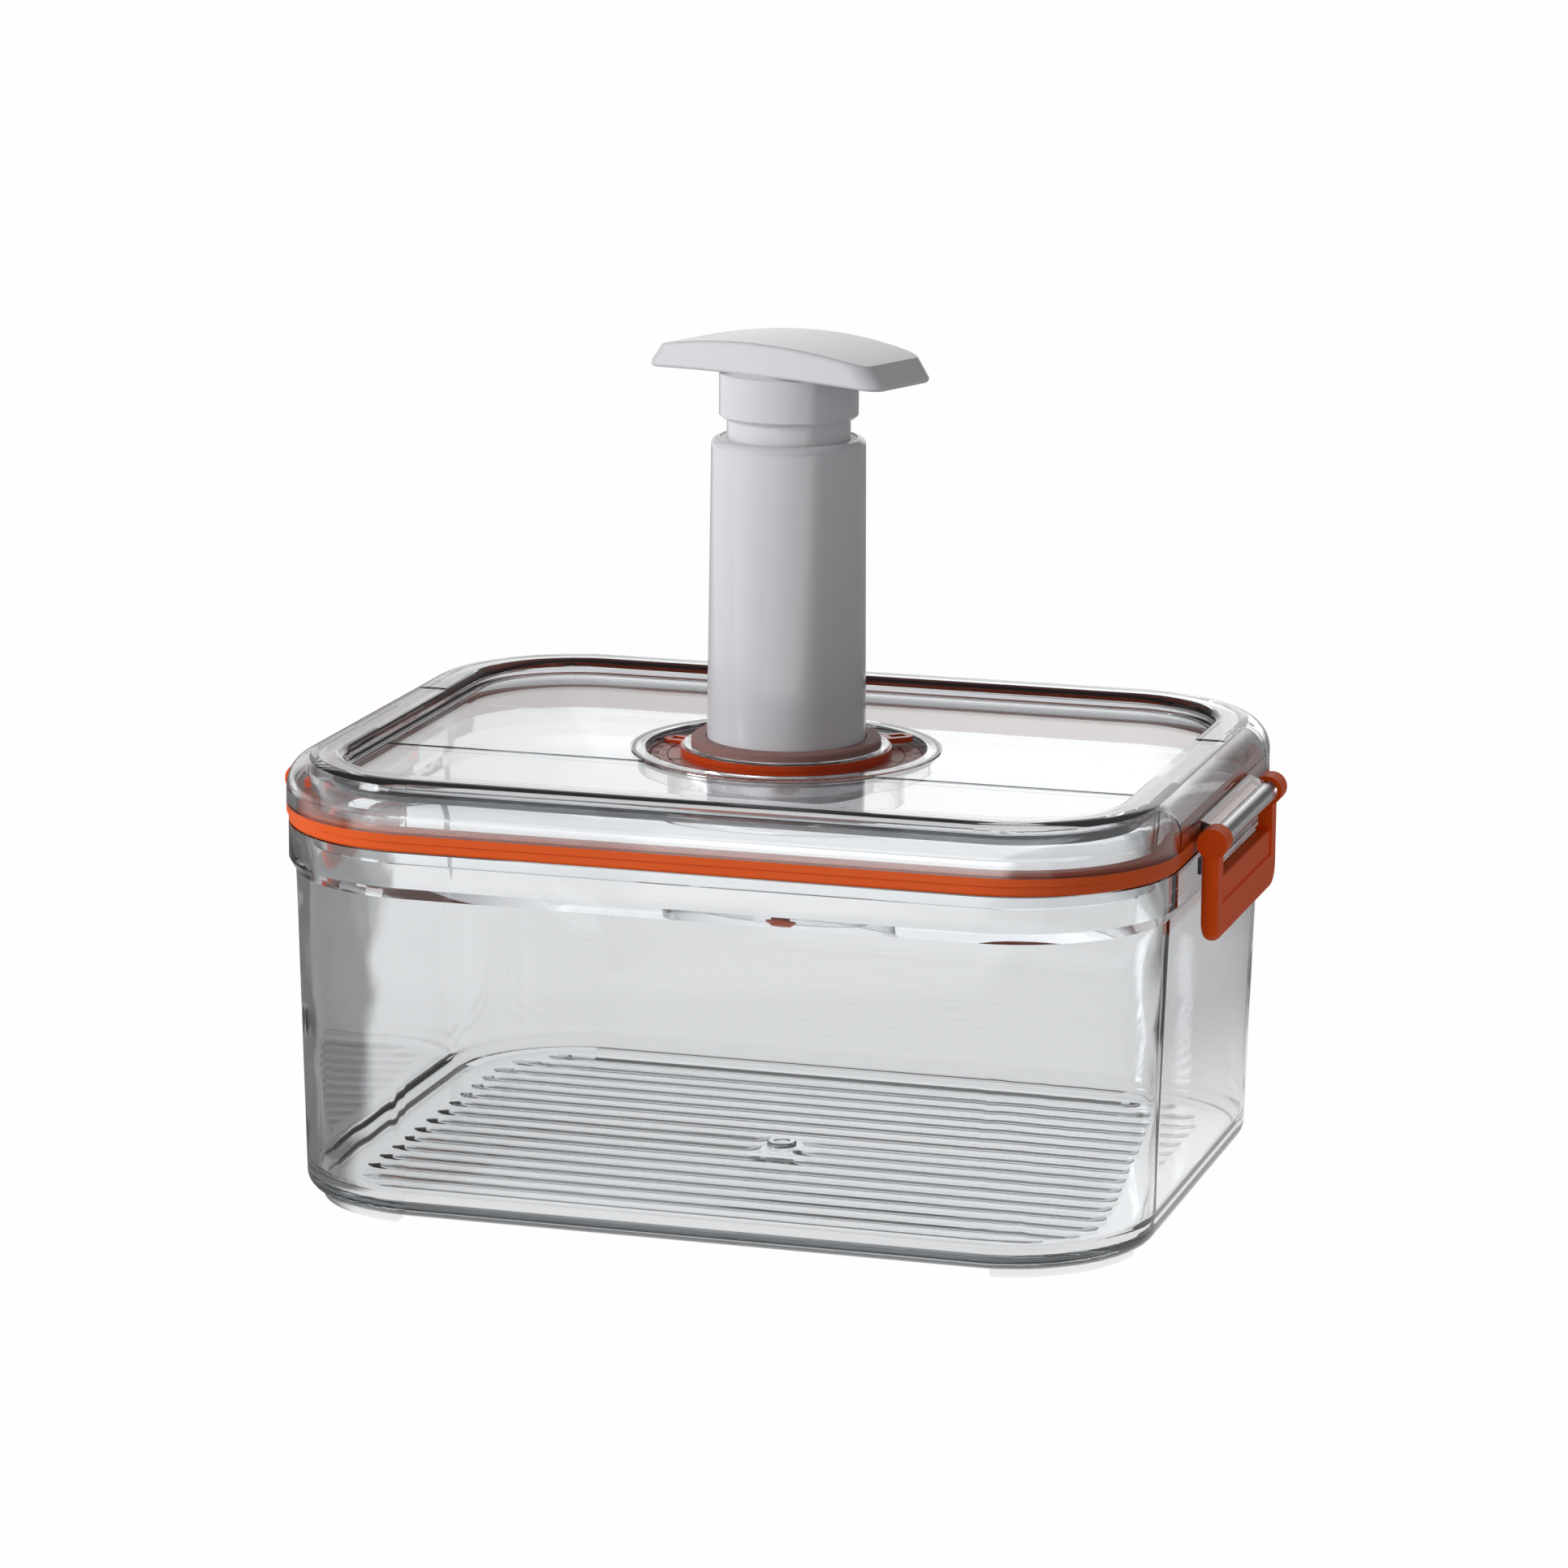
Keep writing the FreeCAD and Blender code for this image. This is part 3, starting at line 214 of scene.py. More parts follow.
def clear_san(colours):
    """Styrene acrylonitrile, moulded in a polished tool: water-clear and glossy, with a cool grey in its
    thick edges and a very slow waviness from the flow of the melt."""
    made = blank("clear_san")
    tree = made.node_tree
    place = add(tree, "ShaderNodeTexCoord")
    flow = add(tree, "ShaderNodeTexNoise", {"Vector": place.outputs["Object"]},
               {"Scale": 1 / FLOW_WAVE, "Detail": 1.0, "Roughness": 0.4})
    waves = add(tree, "ShaderNodeBump", {"Height": flow.outputs["Fac"]},
                {"Strength": 0.12, "Distance": 0.12 * MM})
    shader = add(tree, "ShaderNodeBsdfPrincipled", {"Normal": waves.outputs["Normal"]},
                 {"Base Color": colours.clear, "Roughness": 0.012, "IOR": 1.57, "Transmission Weight": 1.0})
    depth = add(tree, "ShaderNodeVolumeAbsorption", None, {"Color": colours.clear_depth, "Density": 21.0})
    add(tree, "ShaderNodeOutputMaterial",
        {"Surface": shader.outputs["BSDF"], "Volume": depth.outputs["Volume"]})
    return made


def moulded(name, shade, rough, mottle, grit_mm, relief=0.15, ior=1.5, shine=0.5, metal=0.0, subsurface=0.0):
    """Shared build of the opaque finishes: the colour drifts slightly from place to place, and a fine grit
    from the tool's texture breaks the gloss. Mottle is the drift's share, grit the texture's size, relief its
    strength and shine the level of the gloss. The grit is drawn coarser than a real one, which is too fine
    to show."""
    made = blank(name)
    tree = made.node_tree
    place = add(tree, "ShaderNodeTexCoord")
    drift = add(tree, "ShaderNodeTexNoise", {"Vector": place.outputs["Object"]},
                {"Scale": 1 / COLOUR_DRIFT, "Detail": 3.0})
    dark = [channel * (1 - mottle) for channel in shade[:3]]
    pale = [min(1.0, channel * (1 + mottle)) for channel in shade[:3]]
    tint = add(tree, "ShaderNodeMixRGB", {"Fac": drift.outputs["Fac"]},
               {"Color1": (*dark, 1.0), "Color2": (*pale, 1.0)})
    grit = add(tree, "ShaderNodeTexNoise", {"Vector": place.outputs["Object"]},
               {"Scale": 1 / (grit_mm * MM), "Detail": 2.0})
    gloss = add(tree, "ShaderNodeMapRange", {"Value": grit.outputs["Fac"]},
                {"To Min": rough * (1 - GLOSS_SPREAD), "To Max": rough * (1 + GLOSS_SPREAD)})
    bumps = add(tree, "ShaderNodeBump", {"Height": grit.outputs["Fac"]},
                {"Strength": relief, "Distance": GRIT_HEIGHT})
    shader = add(tree, "ShaderNodeBsdfPrincipled",
                 {"Base Color": tint.outputs["Color"], "Roughness": gloss.outputs["Result"],
                  "Normal": bumps.outputs["Normal"]},
                 {"IOR": ior, "Specular IOR Level": shine, "Metallic": metal,
                  "Subsurface Weight": subsurface, "Subsurface Scale": SCATTER_DEPTH})
    add(tree, "ShaderNodeOutputMaterial", {"Surface": shader.outputs["BSDF"]})
    return made


def finish(material, *names):
    """Gives CAD nodes one finish all over."""
    for name in names:
        mesh = NODES[name].data
        mesh.materials.clear()
        mesh.materials.append(material)


def piece(mesh, material, body):
    """A new piece named as its mesh, riding on a body."""
    mesh.materials.clear()
    mesh.materials.append(material)
    made = bpy.data.objects.new(mesh.name, mesh)
    bpy.context.scene.collection.objects.link(made)
    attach(made, body)
    return made


def surface(name, points, faces):
    """A mesh from an array of points and a list of faces."""
    mesh = bpy.data.meshes.new(name)
    mesh.from_pydata(points.tolist(), [], faces)
    mesh.validate()
    return mesh


def within(x, y, half_length, half_depth, corner):
    """True where a place lies inside a rounded rectangle about the middle: its distance from the rectangle of
    the corners' middles is under the corner's radius."""
    return np.hypot(np.maximum(np.abs(x) - half_length + corner, 0),
                    np.maximum(np.abs(y) - half_depth + corner, 0)) < corner


def rib(start, end, y, floor):
    """Rings of a ridge with round ends: a stadium whose end radius is half the width times cos t while it
    rises by the height times sin t, so that its section is half an ellipse."""
    rise = np.linspace(0, CROWN, RIB_RINGS)[:, None]
    half_turn = np.linspace(-math.pi / 2, math.pi / 2, RIB_END_STEPS)
    turn = np.concatenate([half_turn, half_turn + math.pi])
    middle = np.repeat([end - floor.width / 2, start + floor.width / 2], RIB_END_STEPS)
    radius = floor.width / 2 * np.cos(rise)
    return np.stack(np.broadcast_arrays(middle + radius * np.cos(turn), y + radius * np.sin(turn),
                                        floor.level + floor.height * np.sin(rise)), axis=-1)


def ribs(floor):
    """Every rib of the field. One in the field's round corners is shorter by R - sqrt(R^2 - d^2), d being how
    far it reaches into them, and one that meets the gate mark stops on both sides of it."""
    rows = []
    for index in range(floor.count):
        y = (index - (floor.count - 1) / 2) * floor.pitch
        into = max(0.0, abs(y) + floor.width / 2 - floor.half_depth + floor.corner)
        end = floor.half_length - floor.corner + math.sqrt(floor.corner ** 2 - into ** 2)
        if abs(y) - floor.width / 2 < floor.gate_radius + GATE_CLEARING:
            start = floor.gate_radius + GATE_CLEARING
            rows += [rib(start, end, y, floor), rib(-end, -start, y, floor)]
        else:
            rows.append(rib(-end, end, y, floor))
    return rows


def gate_mark(floor):
    """Rings of the gate mark: a (radius, height) profile carried round the vertical, from its foot to the
    dimple."""
    outer, inner, top = floor.gate_radius, floor.dimple_radius, floor.gate_height
    bevel = (outer - inner) / BEVEL_PARTS
    profile = np.array([(outer, 0), (outer, top - bevel), (outer - bevel, top),
                        (inner + bevel, top), (inner, top - bevel), (inner, bevel)])
    turn = np.linspace(0, 2 * math.pi, GATE_STEPS, endpoint=False)
    reach, height = profile[:, :1], profile[:, 1:]
    return np.stack(np.broadcast_arrays(reach * np.cos(turn), reach * np.sin(turn),
                                        floor.level + height), axis=-1)


def skin(rings):
    """Points and faces over stacked closed rings, open at the first ring and capped at the last."""
    levels, count, _ = rings.shape
    level, step = np.meshgrid(np.arange(levels - 1) * count, np.arange(count), indexing="ij")
    following = (step + 1) % count
    above = level + count
    walls = np.stack([level + step, level + following, above + following, above + step], axis=-1)
    cap = np.arange((levels - 1) * count, levels * count)
    return rings.reshape(-1, 3), walls.reshape(-1, 4).tolist() + [cap.tolist()]


def held(work, name):
    """An object that holds a closed shape for a short while."""
    mesh = bpy.data.meshes.new(name)
    work.to_mesh(mesh)
    work.free()
    made = bpy.data.objects.new(name, mesh)
    bpy.context.scene.collection.objects.link(made)
    return made


def united(work, *names):
    """The shape made one with CAD nodes that are moulded with it: their union, with no faces left inside."""
    holders = [held(work, "whole")]
    for name in names:
        added = bmesh.new()
        added.from_mesh(NODES[name].data)
        bmesh.ops.remove_doubles(added, verts=added.verts, dist=MERGED)
        holders.append(held(added, name))
        union = holders[0].modifiers.new(name, "BOOLEAN")
        union.operation = "UNION"
        union.solver = "EXACT"
        union.object = holders[-1]
    mesh = bpy.data.meshes.new_from_object(holders[0].evaluated_get(bpy.context.evaluated_depsgraph_get()))
    # Removing a holder's mesh removes the holder too.
    for spent in [holder.data for holder in holders]:
        bpy.data.meshes.remove(spent)
    return mesh


def ribbed_tub(floor):
    """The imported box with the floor's relief set again: its flat floor and the relief on it come off a copy,
    the ribs and the gate mark go on as rings, flat faces fill the floor between them, and the catch bars are
    joined to the box."""
    source = NODES["tub"].data
    centres = np.empty(len(source.polygons) * 3)
    source.polygons.foreach_get("center", centres)
    normals = np.empty(len(source.polygons) * 3)
    source.polygons.foreach_get("normal", normals)
    x, y, z = centres.reshape(-1, 3).T
    flat = (normals[2::3] > LEVEL_SHARE) & (np.abs(z - floor.level) < MERGED)
    half_length, half_depth = (np.abs(axis[flat]).max() for axis in (x, y))
    marks = within(x, y, half_length - floor.margin, half_depth - floor.margin, floor.edge - floor.margin)
    marks &= (z > floor.level) & (z < floor.level + floor.relief)
    work = bmesh.new()
    work.from_mesh(source)
    work.faces.ensure_lookup_table()
    bmesh.ops.delete(work, geom=[work.faces[i] for i in np.flatnonzero(flat | marks)], context="FACES")
    bmesh.ops.remove_doubles(work, verts=work.verts, dist=MERGED)
    for rings in (*ribs(floor), gate_mark(floor)):
        relief = surface("relief", *skin(rings))
        work.from_mesh(relief)
        bpy.data.meshes.remove(relief)
    bmesh.ops.triangle_fill(work, edges=[edge for edge in work.edges if edge.is_boundary], use_beauty=True,
                            normal=(0, 0, 1))
    if not all(edge.is_manifold for edge in work.edges):
        raise RuntimeError("the ribbed floor doesn't close the box")
    bmesh.ops.triangulate(work, faces=work.faces)
    mesh = united(work, "catch_right", "catch_left")
    mesh.name = "ribbed_tub"
    if "custom_normal" in mesh.attributes:
        mesh.attributes.remove(mesh.attributes["custom_normal"])
    mesh.shade_smooth()
    mesh.set_sharp_from_angle(angle=SHARP)
    return mesh


def digits(body, height, ink):
    """One printed number as points and triangles about its own middle. Text is made a mesh before it is
    placed, and its faces are turned outwards."""
    curve = bpy.data.curves.new("digits", "FONT")
    curve.body = body
    curve.size = height / CAP_SHARE
    curve.align_x = "CENTER"
    curve.align_y = "CENTER"
    curve.extrude = ink / 2
    curve.offset = BOLD
    curve.resolution_u = 3
    holder = bpy.data.objects.new("digits", curve)
    mesh = bpy.data.meshes.new_from_object(holder)
    work = bmesh.new()
    work.from_mesh(mesh)
    bmesh.ops.remove_doubles(work, verts=work.verts, dist=MERGED)
    bmesh.ops.recalc_face_normals(work, faces=work.faces)
    work.to_mesh(mesh)
    work.free()
    mesh.calc_loop_triangles()
    points = np.empty(len(mesh.vertices) * 3)
    mesh.vertices.foreach_get("co", points)
    triangles = np.empty(len(mesh.loop_triangles) * 3, dtype=np.int32)
    mesh.loop_triangles.foreach_get("vertices", triangles)
    bpy.data.objects.remove(holder)
    bpy.data.curves.remove(curve)
    bpy.data.meshes.remove(mesh)
    return points.reshape(-1, 3), triangles.reshape(-1, 3)


def placed(points, turn, radius, height):
    """Points carried out along the radius and turned clockwise from the back, standing on the height."""
    moved = points + np.array([0, radius, height])
    sine, cosine = math.sin(-turn), math.cos(-turn)
    return moved @ np.array([[cosine, sine, 0], [-sine, cosine, 0], [0, 0, 1]])


def wrapped(steps, sides):
    """Four-cornered faces over a grid of places that closes on itself both ways."""
    step, side = np.meshgrid(np.arange(steps), np.arange(sides), indexing="ij")
    following, beside = (step + 1) % steps, (side + 1) % sides
    return np.stack([step * sides + side, following * sides + side, following * sides + beside,
                     step * sides + beside], axis=-1).reshape(-1, 4)


def gasket_lip(lip):
    """A film with a slanted top carried round the lid. In each corner its path is the corner's middle plus
    the radius, less or more by the profile's own place, times (cos t, sin t)."""
    profile = np.array([(-lip.depth, -lip.drop), (lip.proud, -lip.drop),
                        (lip.proud, lip.height - 2 * lip.proud),
                        (-lip.proud, lip.height), (-lip.depth, lip.height)])
    quarter = np.linspace(0, math.pi / 2, CORNER_STEPS)
    turn = np.concatenate([quarter + side * math.pi / 2 for side in range(4)])[:, None]
    across = np.repeat([1, -1, -1, 1], CORNER_STEPS)[:, None] * (lip.half_length - lip.corner)
    along = np.repeat([1, 1, -1, -1], CORNER_STEPS)[:, None] * (lip.half_depth - lip.corner)
    reach = lip.corner + profile[None, :, 0]
    points = np.stack(np.broadcast_arrays(across + reach * np.cos(turn), along + reach * np.sin(turn),
                                          lip.edge + profile[None, :, 1]), axis=-1).reshape(-1, 3)
    return surface("gasket_lip", points, wrapped(len(turn), len(profile)).tolist())


def printed_ring(radius, line, low, high):
    """A flat ring: a rectangle of the line's width and the ink's height carried round a circle."""
    profile = np.array([[-line / 2, low], [line / 2, low], [line / 2, high], [-line / 2, high]])
    turn = np.linspace(0, 2 * math.pi, RING_STEPS, endpoint=False)[:, None]
    reach = radius + profile[None, :, 0]
    points = np.stack(np.broadcast_arrays(reach * np.cos(turn), reach * np.sin(turn), profile[None, :, 1]),
                      axis=-1).reshape(-1, 3)
    faces = wrapped(len(turn), len(profile))
    return points, np.concatenate([faces[:, [0, 1, 2]], faces[:, [0, 2, 3]]])


def dial_print(dial):
    """All of the dial's print in one set: rows of numbers, a tick for each day and two rings."""
    base = DIAL_TOP + dial.ink / 2
    sets = []
    for count, radius, size in ((dial.days, dial.day_radius, dial.day_size),
                                (dial.months, dial.month_radius, dial.month_size)):
        for number in range(1, count + 1):
            points, triangles = digits(str(number), size, dial.ink)
            sets.append((placed(points, 2 * math.pi * number / count, radius, base), triangles))
    tick = TICK_CORNERS * np.array([dial.line, dial.tick_length, dial.ink])
    for number in range(dial.days):
        between = 2 * math.pi * (number + 0.5) / dial.days
        sets.append((placed(tick, between, dial.tick_radius, base), TICK_FACES))
    inner_ring = dial.tick_radius - dial.tick_length
    outer_ring = DIAL_RADIUS - 2 * dial.line
    for radius in (inner_ring, outer_ring):
        sets.append(printed_ring(radius, dial.line, DIAL_TOP, DIAL_TOP + dial.ink))
    starts = np.cumsum([0] + [len(points) for points, _ in sets[:-1]])
    points = np.concatenate([points for points, _ in sets])
    triangles = np.concatenate([triangles + start for (_, triangles), start in zip(sets, starts)])
    return points, triangles


class CANISTER_OT_clear_shells(bpy.types.Operator):
    """Finish the lid and the valve cup in clear plastic, and set the box's ribbed floor and catch bars"""

    bl_idname = "canister.clear_shells"
    bl_label = "Clear shells"

    def execute(self, context):
        plastic = clear_san(context.scene.canister_colours)
        finish(plastic, "lid", "valve_cup")
        box = piece(ribbed_tub(context.scene.canister_floor), plastic, "tub")
        weights = box.modifiers.new("flat_walls", "WEIGHTED_NORMAL")
        weights.weight = 100
        weights.keep_sharp = True
        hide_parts("tub", "catch_right", "catch_left")
        return {"FINISHED"}


class CANISTER_OT_seals(bpy.types.Operator):
    """Finish the gasket, the valve plug and the rubber pieces, and turn the gasket's lip over the lid"""

    bl_idname = "canister.seals"
    bl_label = "Seals"

    def execute(self, context):
        colours = context.scene.canister_colours
        # Cast silicone: a soft satin skin with a little depth to its colour.
        silicone = moulded("orange_silicone", colours.silicone, rough=0.42, mottle=0.04, grit_mm=0.5,
                           ior=1.41, subsurface=0.1)
        finish(silicone, "lid_gasket", "valve_plug")
        piece(gasket_lip(context.scene.canister_lip), silicone, "lid")
        # Moulded nitrile rubber: matt, near black, with a dusty grain.
        nitrile = moulded("black_nitrile", colours.rubber, rough=0.55, mottle=0.06, grit_mm=0.4, ior=1.52)
        finish(nitrile, "cup_seal", "inlet_valve", "piston_seal", "exhaust_valve")
        # Soft thermoplastic rubber: matt taupe with a faint grain.
        elastomer = moulded("taupe_elastomer", colours.foot, rough=0.55, mottle=0.05, grit_mm=0.4)
        finish(elastomer, "foot_seal")
        return {"FINISHED"}


class CANISTER_OT_latches(bpy.types.Operator):
    """Finish the latches and their hinge pins"""

    bl_idname = "canister.latches"
    bl_label = "Latches"

    def execute(self, context):
        colours = context.scene.canister_colours
        # Polypropylene from a satin tool: strong colour under a faint, soft gloss.
        polypropylene = moulded("orange_polypropylene", colours.latch, rough=0.42, mottle=0.04, grit_mm=0.6,
                                relief=0.08, shine=0.1, subsurface=0.25)
        finish(polypropylene, "latch_right", "latch_left")
        # Drawn wire: grey metal with a broken shine.
        wire = moulded("drawn_steel", colours.steel, rough=0.5, mottle=0.05, grit_mm=0.3, metal=1.0)
        finish(wire, "hinge_pin_right", "hinge_pin_left", "piston_screw")
        return {"FINISHED"}


class CANISTER_OT_dial(bpy.types.Operator):
    """Print the date dial and finish its plate and pointers"""

    bl_idname = "canister.dial"
    bl_label = "Date dial"

    def execute(self, context):
        scene = context.scene
        colours = scene.canister_colours
        # Satin polystyrene: a dusty pink ground for the print, made darker and pinker than its own colour by
        # a painted reflection of the pump and the orange ring beside it.
        ground = moulded("pale_polystyrene", colours.dial, rough=0.4, mottle=0.02, grit_mm=0.8, ior=1.45)
        finish(ground, "dial_plate")
        # The same polypropylene as the latches, glossier, from a small polished tool.
        polished = moulded("orange_gloss_polypropylene", colours.pointer, rough=0.24, mottle=0.03,
                           grit_mm=0.6)
        finish(polished, "month_pointer", "day_pointer")
        # Pad-printing ink: thin, dark and slightly matt.
        ink = moulded("pad_ink", colours.ink, rough=0.45, mottle=0.05, grit_mm=0.3)
        points, triangles = dial_print(scene.canister_dial)
        piece(surface("dial_print", points, triangles.tolist()), ink, "lid")
        return {"FINISHED"}


class CANISTER_OT_pump(bpy.types.Operator):
    """Finish the pump's barrel, plunger, handle and bush"""

    bl_idname = "canister.pump"
    bl_label = "Pump"

    def execute(self, context):
        colours = context.scene.canister_colours
        # ABS from a nearly polished tool: cool pale grey with a soft gloss.
        abs_plastic = moulded("grey_abs", colours.pump, rough=0.16, mottle=0.012, grit_mm=1.2, relief=0.02,
                              ior=1.53, shine=0.4)
        finish(abs_plastic, "pump_barrel", "pump_handle", "plunger_tube", "barrel_base", "piston_head")
        # Acetal: slightly warm, waxy white.
        acetal = moulded("white_acetal", colours.bush, rough=0.35, mottle=0.02, grit_mm=0.6, ior=1.48,
                         subsurface=0.05)
        finish(acetal, "guide_bush")
        return {"FINISHED"}


def soft_box(name, place, aim, size, power):
    """An area lamp turned from its place to a point, in metres and watts. Neither the camera nor a glossy
    reflection shows it."""
    lamp = bpy.data.lights.new(name, "AREA")
    lamp.shape = "RECTANGLE"
    lamp.size, lamp.size_y = size
    lamp.energy = power
    made = bpy.data.objects.new(name, lamp)
    made.location = place
    made.rotation_euler = (Vector(aim) - Vector(place)).to_track_quat("-Z", "Y").to_euler()
    made.visible_camera = False
    made.visible_glossy = False
    bpy.context.scene.collection.objects.link(made)


class CANISTER_OT_stage(bpy.types.Operator):
    """Set up the floor, the surroundings, the lamps and the camera"""

    bl_idname = "canister.stage"
    bl_label = "Stage"

    def execute(self, context):
        scene = context.scene
        stage = scene.canister_stage
        scene.view_settings.view_transform = "Standard"
        scene.cycles.max_bounces = 32
        scene.cycles.transmission_bounces = 32
        scene.cycles.glossy_bounces = 12
        self.floor(scene, stage)
        self.world(scene, stage)
        soft_box("left_box", place=(-0.95, -0.75, 0.55), aim=(0, 0, 0.12), size=(0.35, 0.8), power=9.9)
        soft_box("top_box", place=(-0.15, 0.35, 1.3), aim=(0, 0, 0.1), size=(0.8, 0.8), power=0.6)
        self.camera(scene, stage)
        return {"FINISHED"}

    @staticmethod
    def studio_axes(tree, coordinates, turn):
        """Splits a place or direction into right, away and up, on axes turned about the vertical."""
        turned = add(tree, "ShaderNodeMapping", {"Vector": coordinates}, {"Rotation": (0, 0, turn)})
        return add(tree, "ShaderNodeSeparateXYZ", {0: turned.outputs["Vector"]}).outputs

    def floor(self, scene, stage):
        """A pale sheet that keeps the object's shadow. Gloss and clear walls see painted light and shade on
        it: light behind the object, painted grey bands past a line on its left and on its right, and light
        again at the far left. In front they see a painted shadow of the object, then light paper, and on it
        a painted bright patch with a dim far end."""
        corners = SHEET_HALF * np.array([(-1, -1, 0), (1, -1, 0), (1, 1, 0), (-1, 1, 0)])
        mesh = surface("floor", corners, [(0, 1, 2, 3)])
        made = bpy.data.objects.new("floor", mesh)
        scene.collection.objects.link(made)
        paper = blank("white_paper")
        tree = paper.node_tree
        rays = add(tree, "ShaderNodeLightPath").outputs
        place = add(tree, "ShaderNodeTexCoord").outputs["Object"]
        right, away, _ = self.studio_axes(tree, place, -stage.azimuth)
        side, ahead, _ = self.studio_axes(tree, place, stage.azimuth)
        along, _, _ = self.studio_axes(tree, place, -stage.azimuth - DARK_BAND_SLANT)
        # A row names a smooth step, what it follows, where it starts and ends, and its light on either side.
        steps = {name: add(tree, "ShaderNodeMapRange", {"Value": value},
                           {"From Min": low, "From Max": high, "To Min": start, "To Max": end},
                           interpolation_type="SMOOTHSTEP").outputs["Result"]
                 for name, value, low, high, start, end in (
                     # painted grey bands past lines on the left and right, which darken the glass's edges
                     ("left_edge", along, -0.114, -0.107, 0.22, 1.0),
                     ("left_table", along, -0.55, -0.42, 0.9, 0.0),
                     ("right_edge", right, 0.12, 0.2, 0.88, 0.28),
                     # painted shadow of the object on the floor in front, darkest close to it
                     ("near", ahead, -0.31, -0.28, 0.8, 0.3),
                     # painted bright patch of light beyond that shadow, dimmer at its far end and left side
                     ("painted_patch", ahead, -0.47, -0.42, 2.8, 0.0),
                     ("painted_patch_end", ahead, -0.72, -0.62, 0.4, 1.0),
                     ("painted_patch_edge", side, -0.005, 0.012, 0.7, 1.0),
                     ("rear", away, -0.125, -0.095, 0.0, 1.0))}
        left = add(tree, "ShaderNodeMath", {0: steps["left_edge"], 1: steps["left_table"]}, operation="ADD")
        behind = add(tree, "ShaderNodeMath", {0: left.outputs[0], 1: steps["right_edge"]},
                     operation="MULTIPLY")
        painted_patch = add(tree, "ShaderNodeMath", {0: steps["painted_patch"], 1: steps["painted_patch_end"]}, operation="MULTIPLY")
        front = add(tree, "ShaderNodeMath", {0: steps["near"], 1: painted_patch.outputs[0]}, operation="ADD")
        front = add(tree, "ShaderNodeMath", {0: front.outputs[0], 1: steps["painted_patch_edge"]},
                    operation="MULTIPLY")
        level = add(tree, "ShaderNodeMix",
                    {"Factor": steps["rear"], "A": front.outputs[0], "B": behind.outputs[0]})
        strength = add(tree, "ShaderNodeMix", {"Factor": rays["Is Camera Ray"], "A": level.outputs["Result"]},
                       {"B": 1.0})
        through = add(tree, "ShaderNodeMath", {0: rays["Is Glossy Ray"], 1: rays["Is Transmission Ray"]},
                      operation="MAXIMUM")
        camera = add(tree, "ShaderNodeMath", {0: rays["Is Camera Ray"]}, {1: CAMERA_SHARE},
                     operation="MULTIPLY")
        share = add(tree, "ShaderNodeMath", {0: camera.outputs[0], 1: through.outputs[0]},
                    operation="MAXIMUM")
        matt = add(tree, "ShaderNodeBsdfDiffuse", None, {"Color": PAPER})
        glow = add(tree, "ShaderNodeEmission", {"Strength": strength.outputs["Result"]}, {"Color": WHITE})
        mixed = add(tree, "ShaderNodeMixShader",
                    {"Fac": share.outputs[0], 1: matt.outputs[0], 2: glow.outputs[0]})
        add(tree, "ShaderNodeOutputMaterial", {"Surface": mixed.outputs[0]})
        mesh.materials.append(paper)

    def world(self, scene, stage):
        """White wherever the camera looks. Gloss and clear walls see a white sheet behind, dimmer on its
        left, and a grey studio to the sides and overhead, paler at the far left. Matt surfaces get more light
        from the left than the right, and less from high up."""
        world = bpy.data.worlds.new("studio")
        scene.world = world
        world.use_nodes = True
        tree = world.node_tree
        tree.nodes.clear()
        rays = add(tree, "ShaderNodeLightPath").outputs
        direction = add(tree, "ShaderNodeTexCoord").outputs["Generated"]
        right, away, up = self.studio_axes(tree, direction, -stage.azimuth)
        # The rows are as the floor's, along the direction of sight.
        steps = {name: add(tree, "ShaderNodeMapRange", {"Value": value},
                           {"From Min": low, "From Max": high, "To Min": start, "To Max": end},
                           interpolation_type="SMOOTHSTEP").outputs["Result"]
                 for name, value, low, high, start, end in (
                     ("sheet", away, 0.85, 0.93, 0.0, 1.15),
                     ("slant", right, -0.14, 0.06, 0.5, 1.0),
                     ("sides", right, -0.25, 0.35, 0.13, 0.24),
                     ("far_left", right, -0.96, -0.85, 0.35, 0.0),
                     ("overhead", up, 0.4, 0.9, 0.0, 0.12),
                     ("matt", right, -0.9, 0.9, 0.54, 0.45),
                     ("canopy", up, 0.1, 0.8, 1.0, 0.35))}
        matt = add(tree, "ShaderNodeMath", {0: steps["matt"], 1: steps["canopy"]}, operation="MULTIPLY")
        sheet = add(tree, "ShaderNodeMath", {0: steps["sheet"], 1: steps["slant"]}, operation="MULTIPLY")
        seen = add(tree, "ShaderNodeMath", {0: sheet.outputs[0], 1: steps["sides"]}, operation="ADD")
        seen = add(tree, "ShaderNodeMath", {0: seen.outputs[0], 1: steps["far_left"]}, operation="ADD")
        seen = add(tree, "ShaderNodeMath", {0: seen.outputs[0], 1: steps["overhead"]}, operation="ADD")
        through = add(tree, "ShaderNodeMath", {0: rays["Is Glossy Ray"], 1: rays["Is Transmission Ray"]},
                      operation="MAXIMUM")
        level = add(tree, "ShaderNodeMix",
                    {"Factor": through.outputs[0], "A": matt.outputs[0], "B": seen.outputs[0]})
        level = add(tree, "ShaderNodeMix", {"Factor": rays["Is Camera Ray"], "A": level.outputs["Result"]},
                    {"B": 1.0})
        light = add(tree, "ShaderNodeBackground", {"Strength": level.outputs["Result"]}, {"Color": WHITE})
        add(tree, "ShaderNodeOutputWorld", {"Surface": light.outputs[0]})

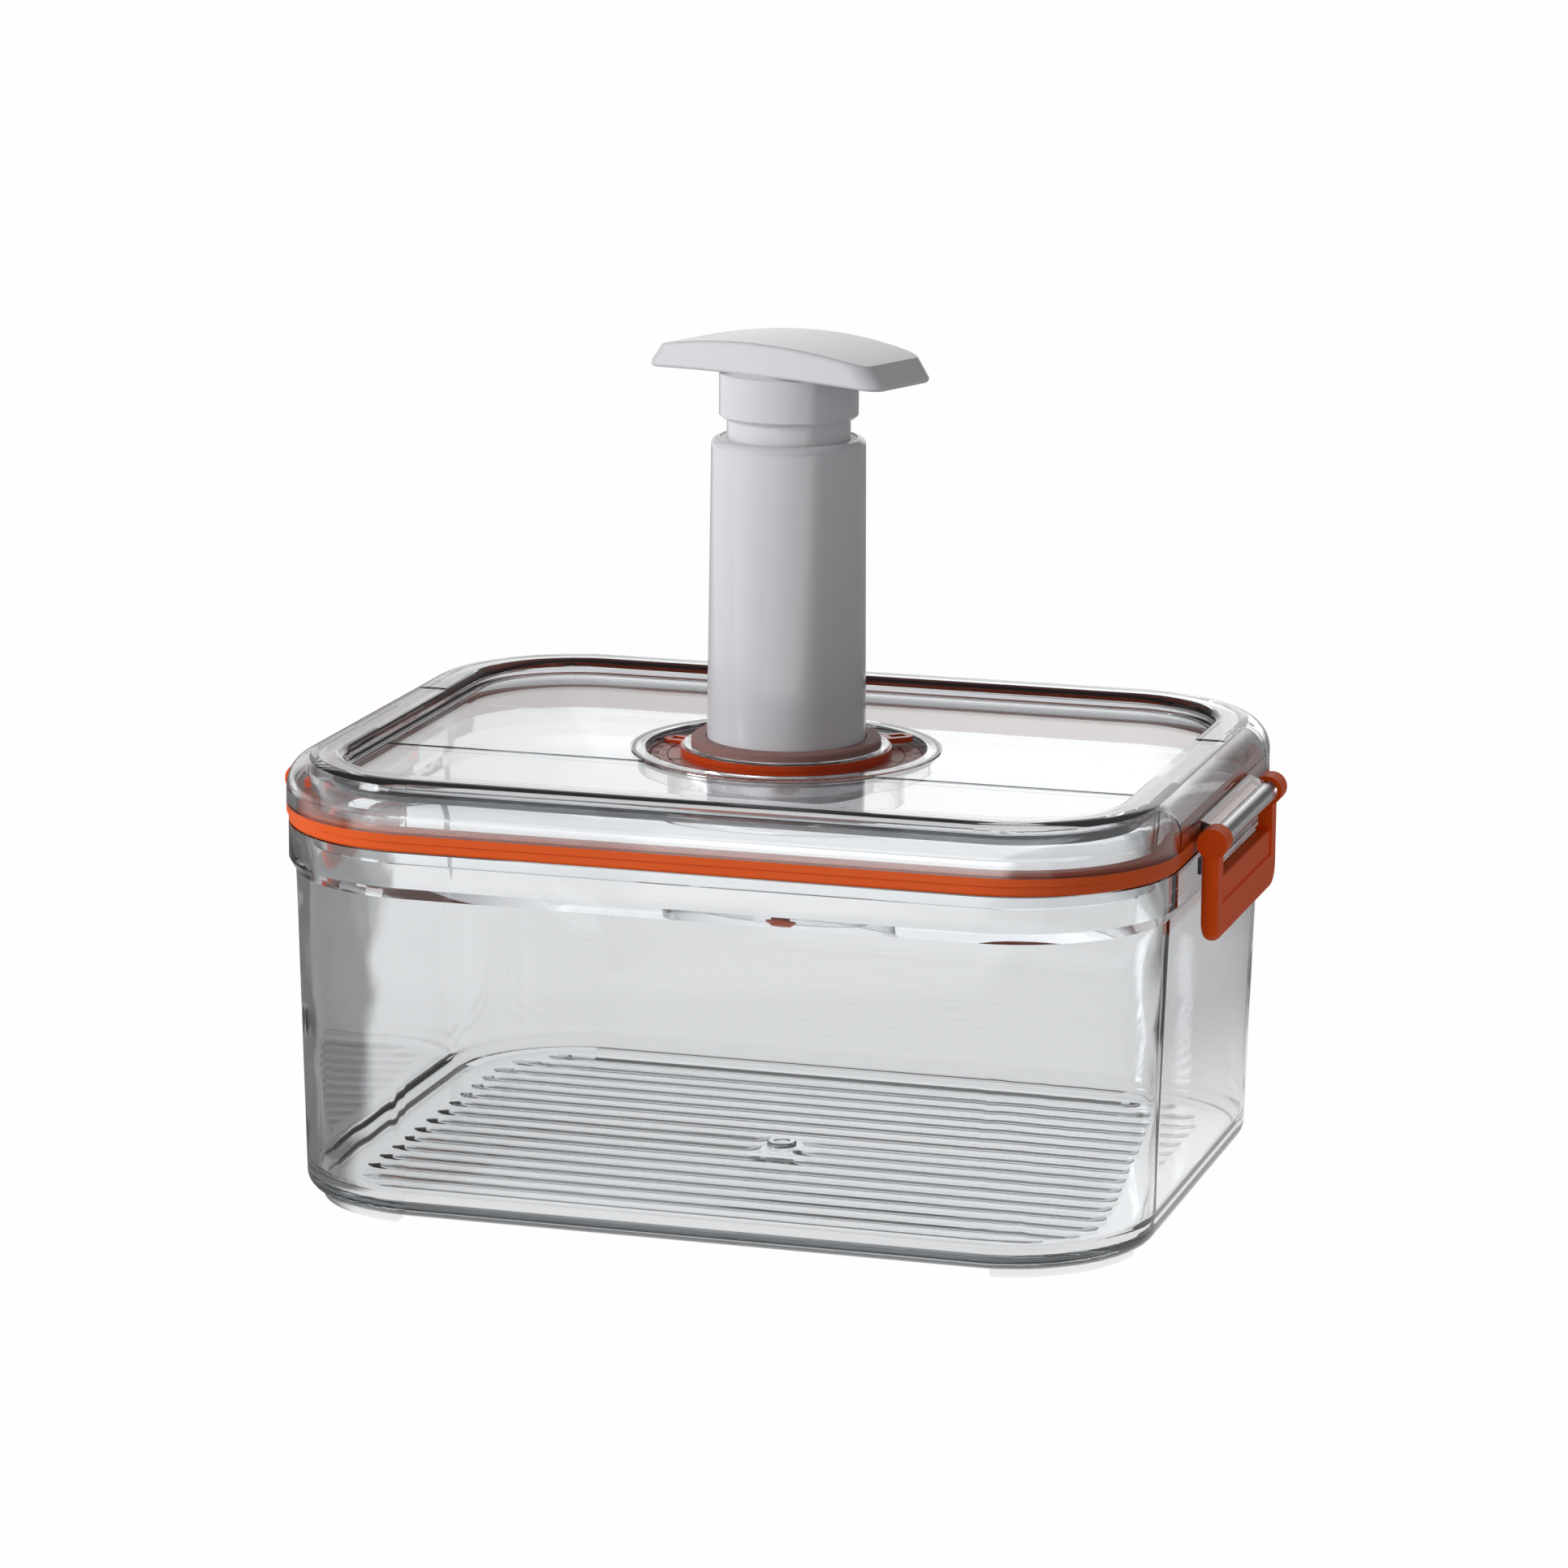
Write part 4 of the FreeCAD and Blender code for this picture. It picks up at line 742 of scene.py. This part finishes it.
    @staticmethod
    def camera(scene, stage):
        """The photograph's viewpoint: on a sphere round the aim, turned about its line of sight."""
        azimuth, elevation = stage.azimuth, stage.elevation
        back = Vector((math.sin(azimuth) * math.cos(elevation), -math.cos(azimuth) * math.cos(elevation),
                       math.sin(elevation)))
        right = Vector((math.cos(azimuth), math.sin(azimuth), 0))
        aim = right * stage.aim_side + Vector((0, 0, stage.aim_height))
        lens = bpy.data.cameras.new("camera")
        lens.sensor_width = SENSOR_WIDTH
        lens.lens = stage.lens
        lens.clip_start = 0.05
        made = bpy.data.objects.new("camera", lens)
        scene.collection.objects.link(made)
        turn = Matrix((right, back.cross(right), back)).transposed() @ Matrix.Rotation(stage.roll, 3, "Z")
        made.location = aim + back * stage.distance
        made.rotation_mode = "QUATERNION"
        made.rotation_quaternion = turn.to_quaternion()
        scene.camera = made


class CANISTER_PT_sidebar(bpy.types.Panel):
    """Lists the canister's colours, floor, gasket lip, dial and stage, and the steps that build it"""

    bl_idname = "CANISTER_PT_sidebar"
    bl_label = "Canister"
    bl_space_type = "VIEW_3D"
    bl_region_type = "UI"
    bl_category = "Canister"

    def draw(self, context):
        for setting in SETTINGS:
            group = getattr(context.scene, setting)
            for name in group.bl_rna.properties.keys():
                if name not in ("rna_type", "name"):
                    self.layout.prop(group, name)
        for step in STEPS:
            self.layout.operator(step.bl_idname)


SETTINGS = {"canister_colours": CanisterColours, "canister_floor": CanisterFloor,
            "canister_lip": CanisterLip, "canister_dial": CanisterDial, "canister_stage": CanisterStage}
STEPS = (CANISTER_OT_clear_shells, CANISTER_OT_seals, CANISTER_OT_latches, CANISTER_OT_dial, CANISTER_OT_pump,
         CANISTER_OT_stage)
CLASSES = (*SETTINGS.values(), *STEPS, CANISTER_PT_sidebar)


def register():
    for item in CLASSES:
        bpy.utils.register_class(item)
    for setting, group in SETTINGS.items():
        setattr(bpy.types.Scene, setting, PointerProperty(type=group))


def unregister():
    for setting in SETTINGS:
        delattr(bpy.types.Scene, setting)
    for item in reversed(CLASSES):
        bpy.utils.unregister_class(item)


def main():
    register()
    bpy.ops.canister.clear_shells()
    bpy.ops.canister.seals()
    bpy.ops.canister.latches()
    bpy.ops.canister.dial()
    bpy.ops.canister.pump()
    bpy.ops.canister.stage()


if __name__ == "__main__":
    main()
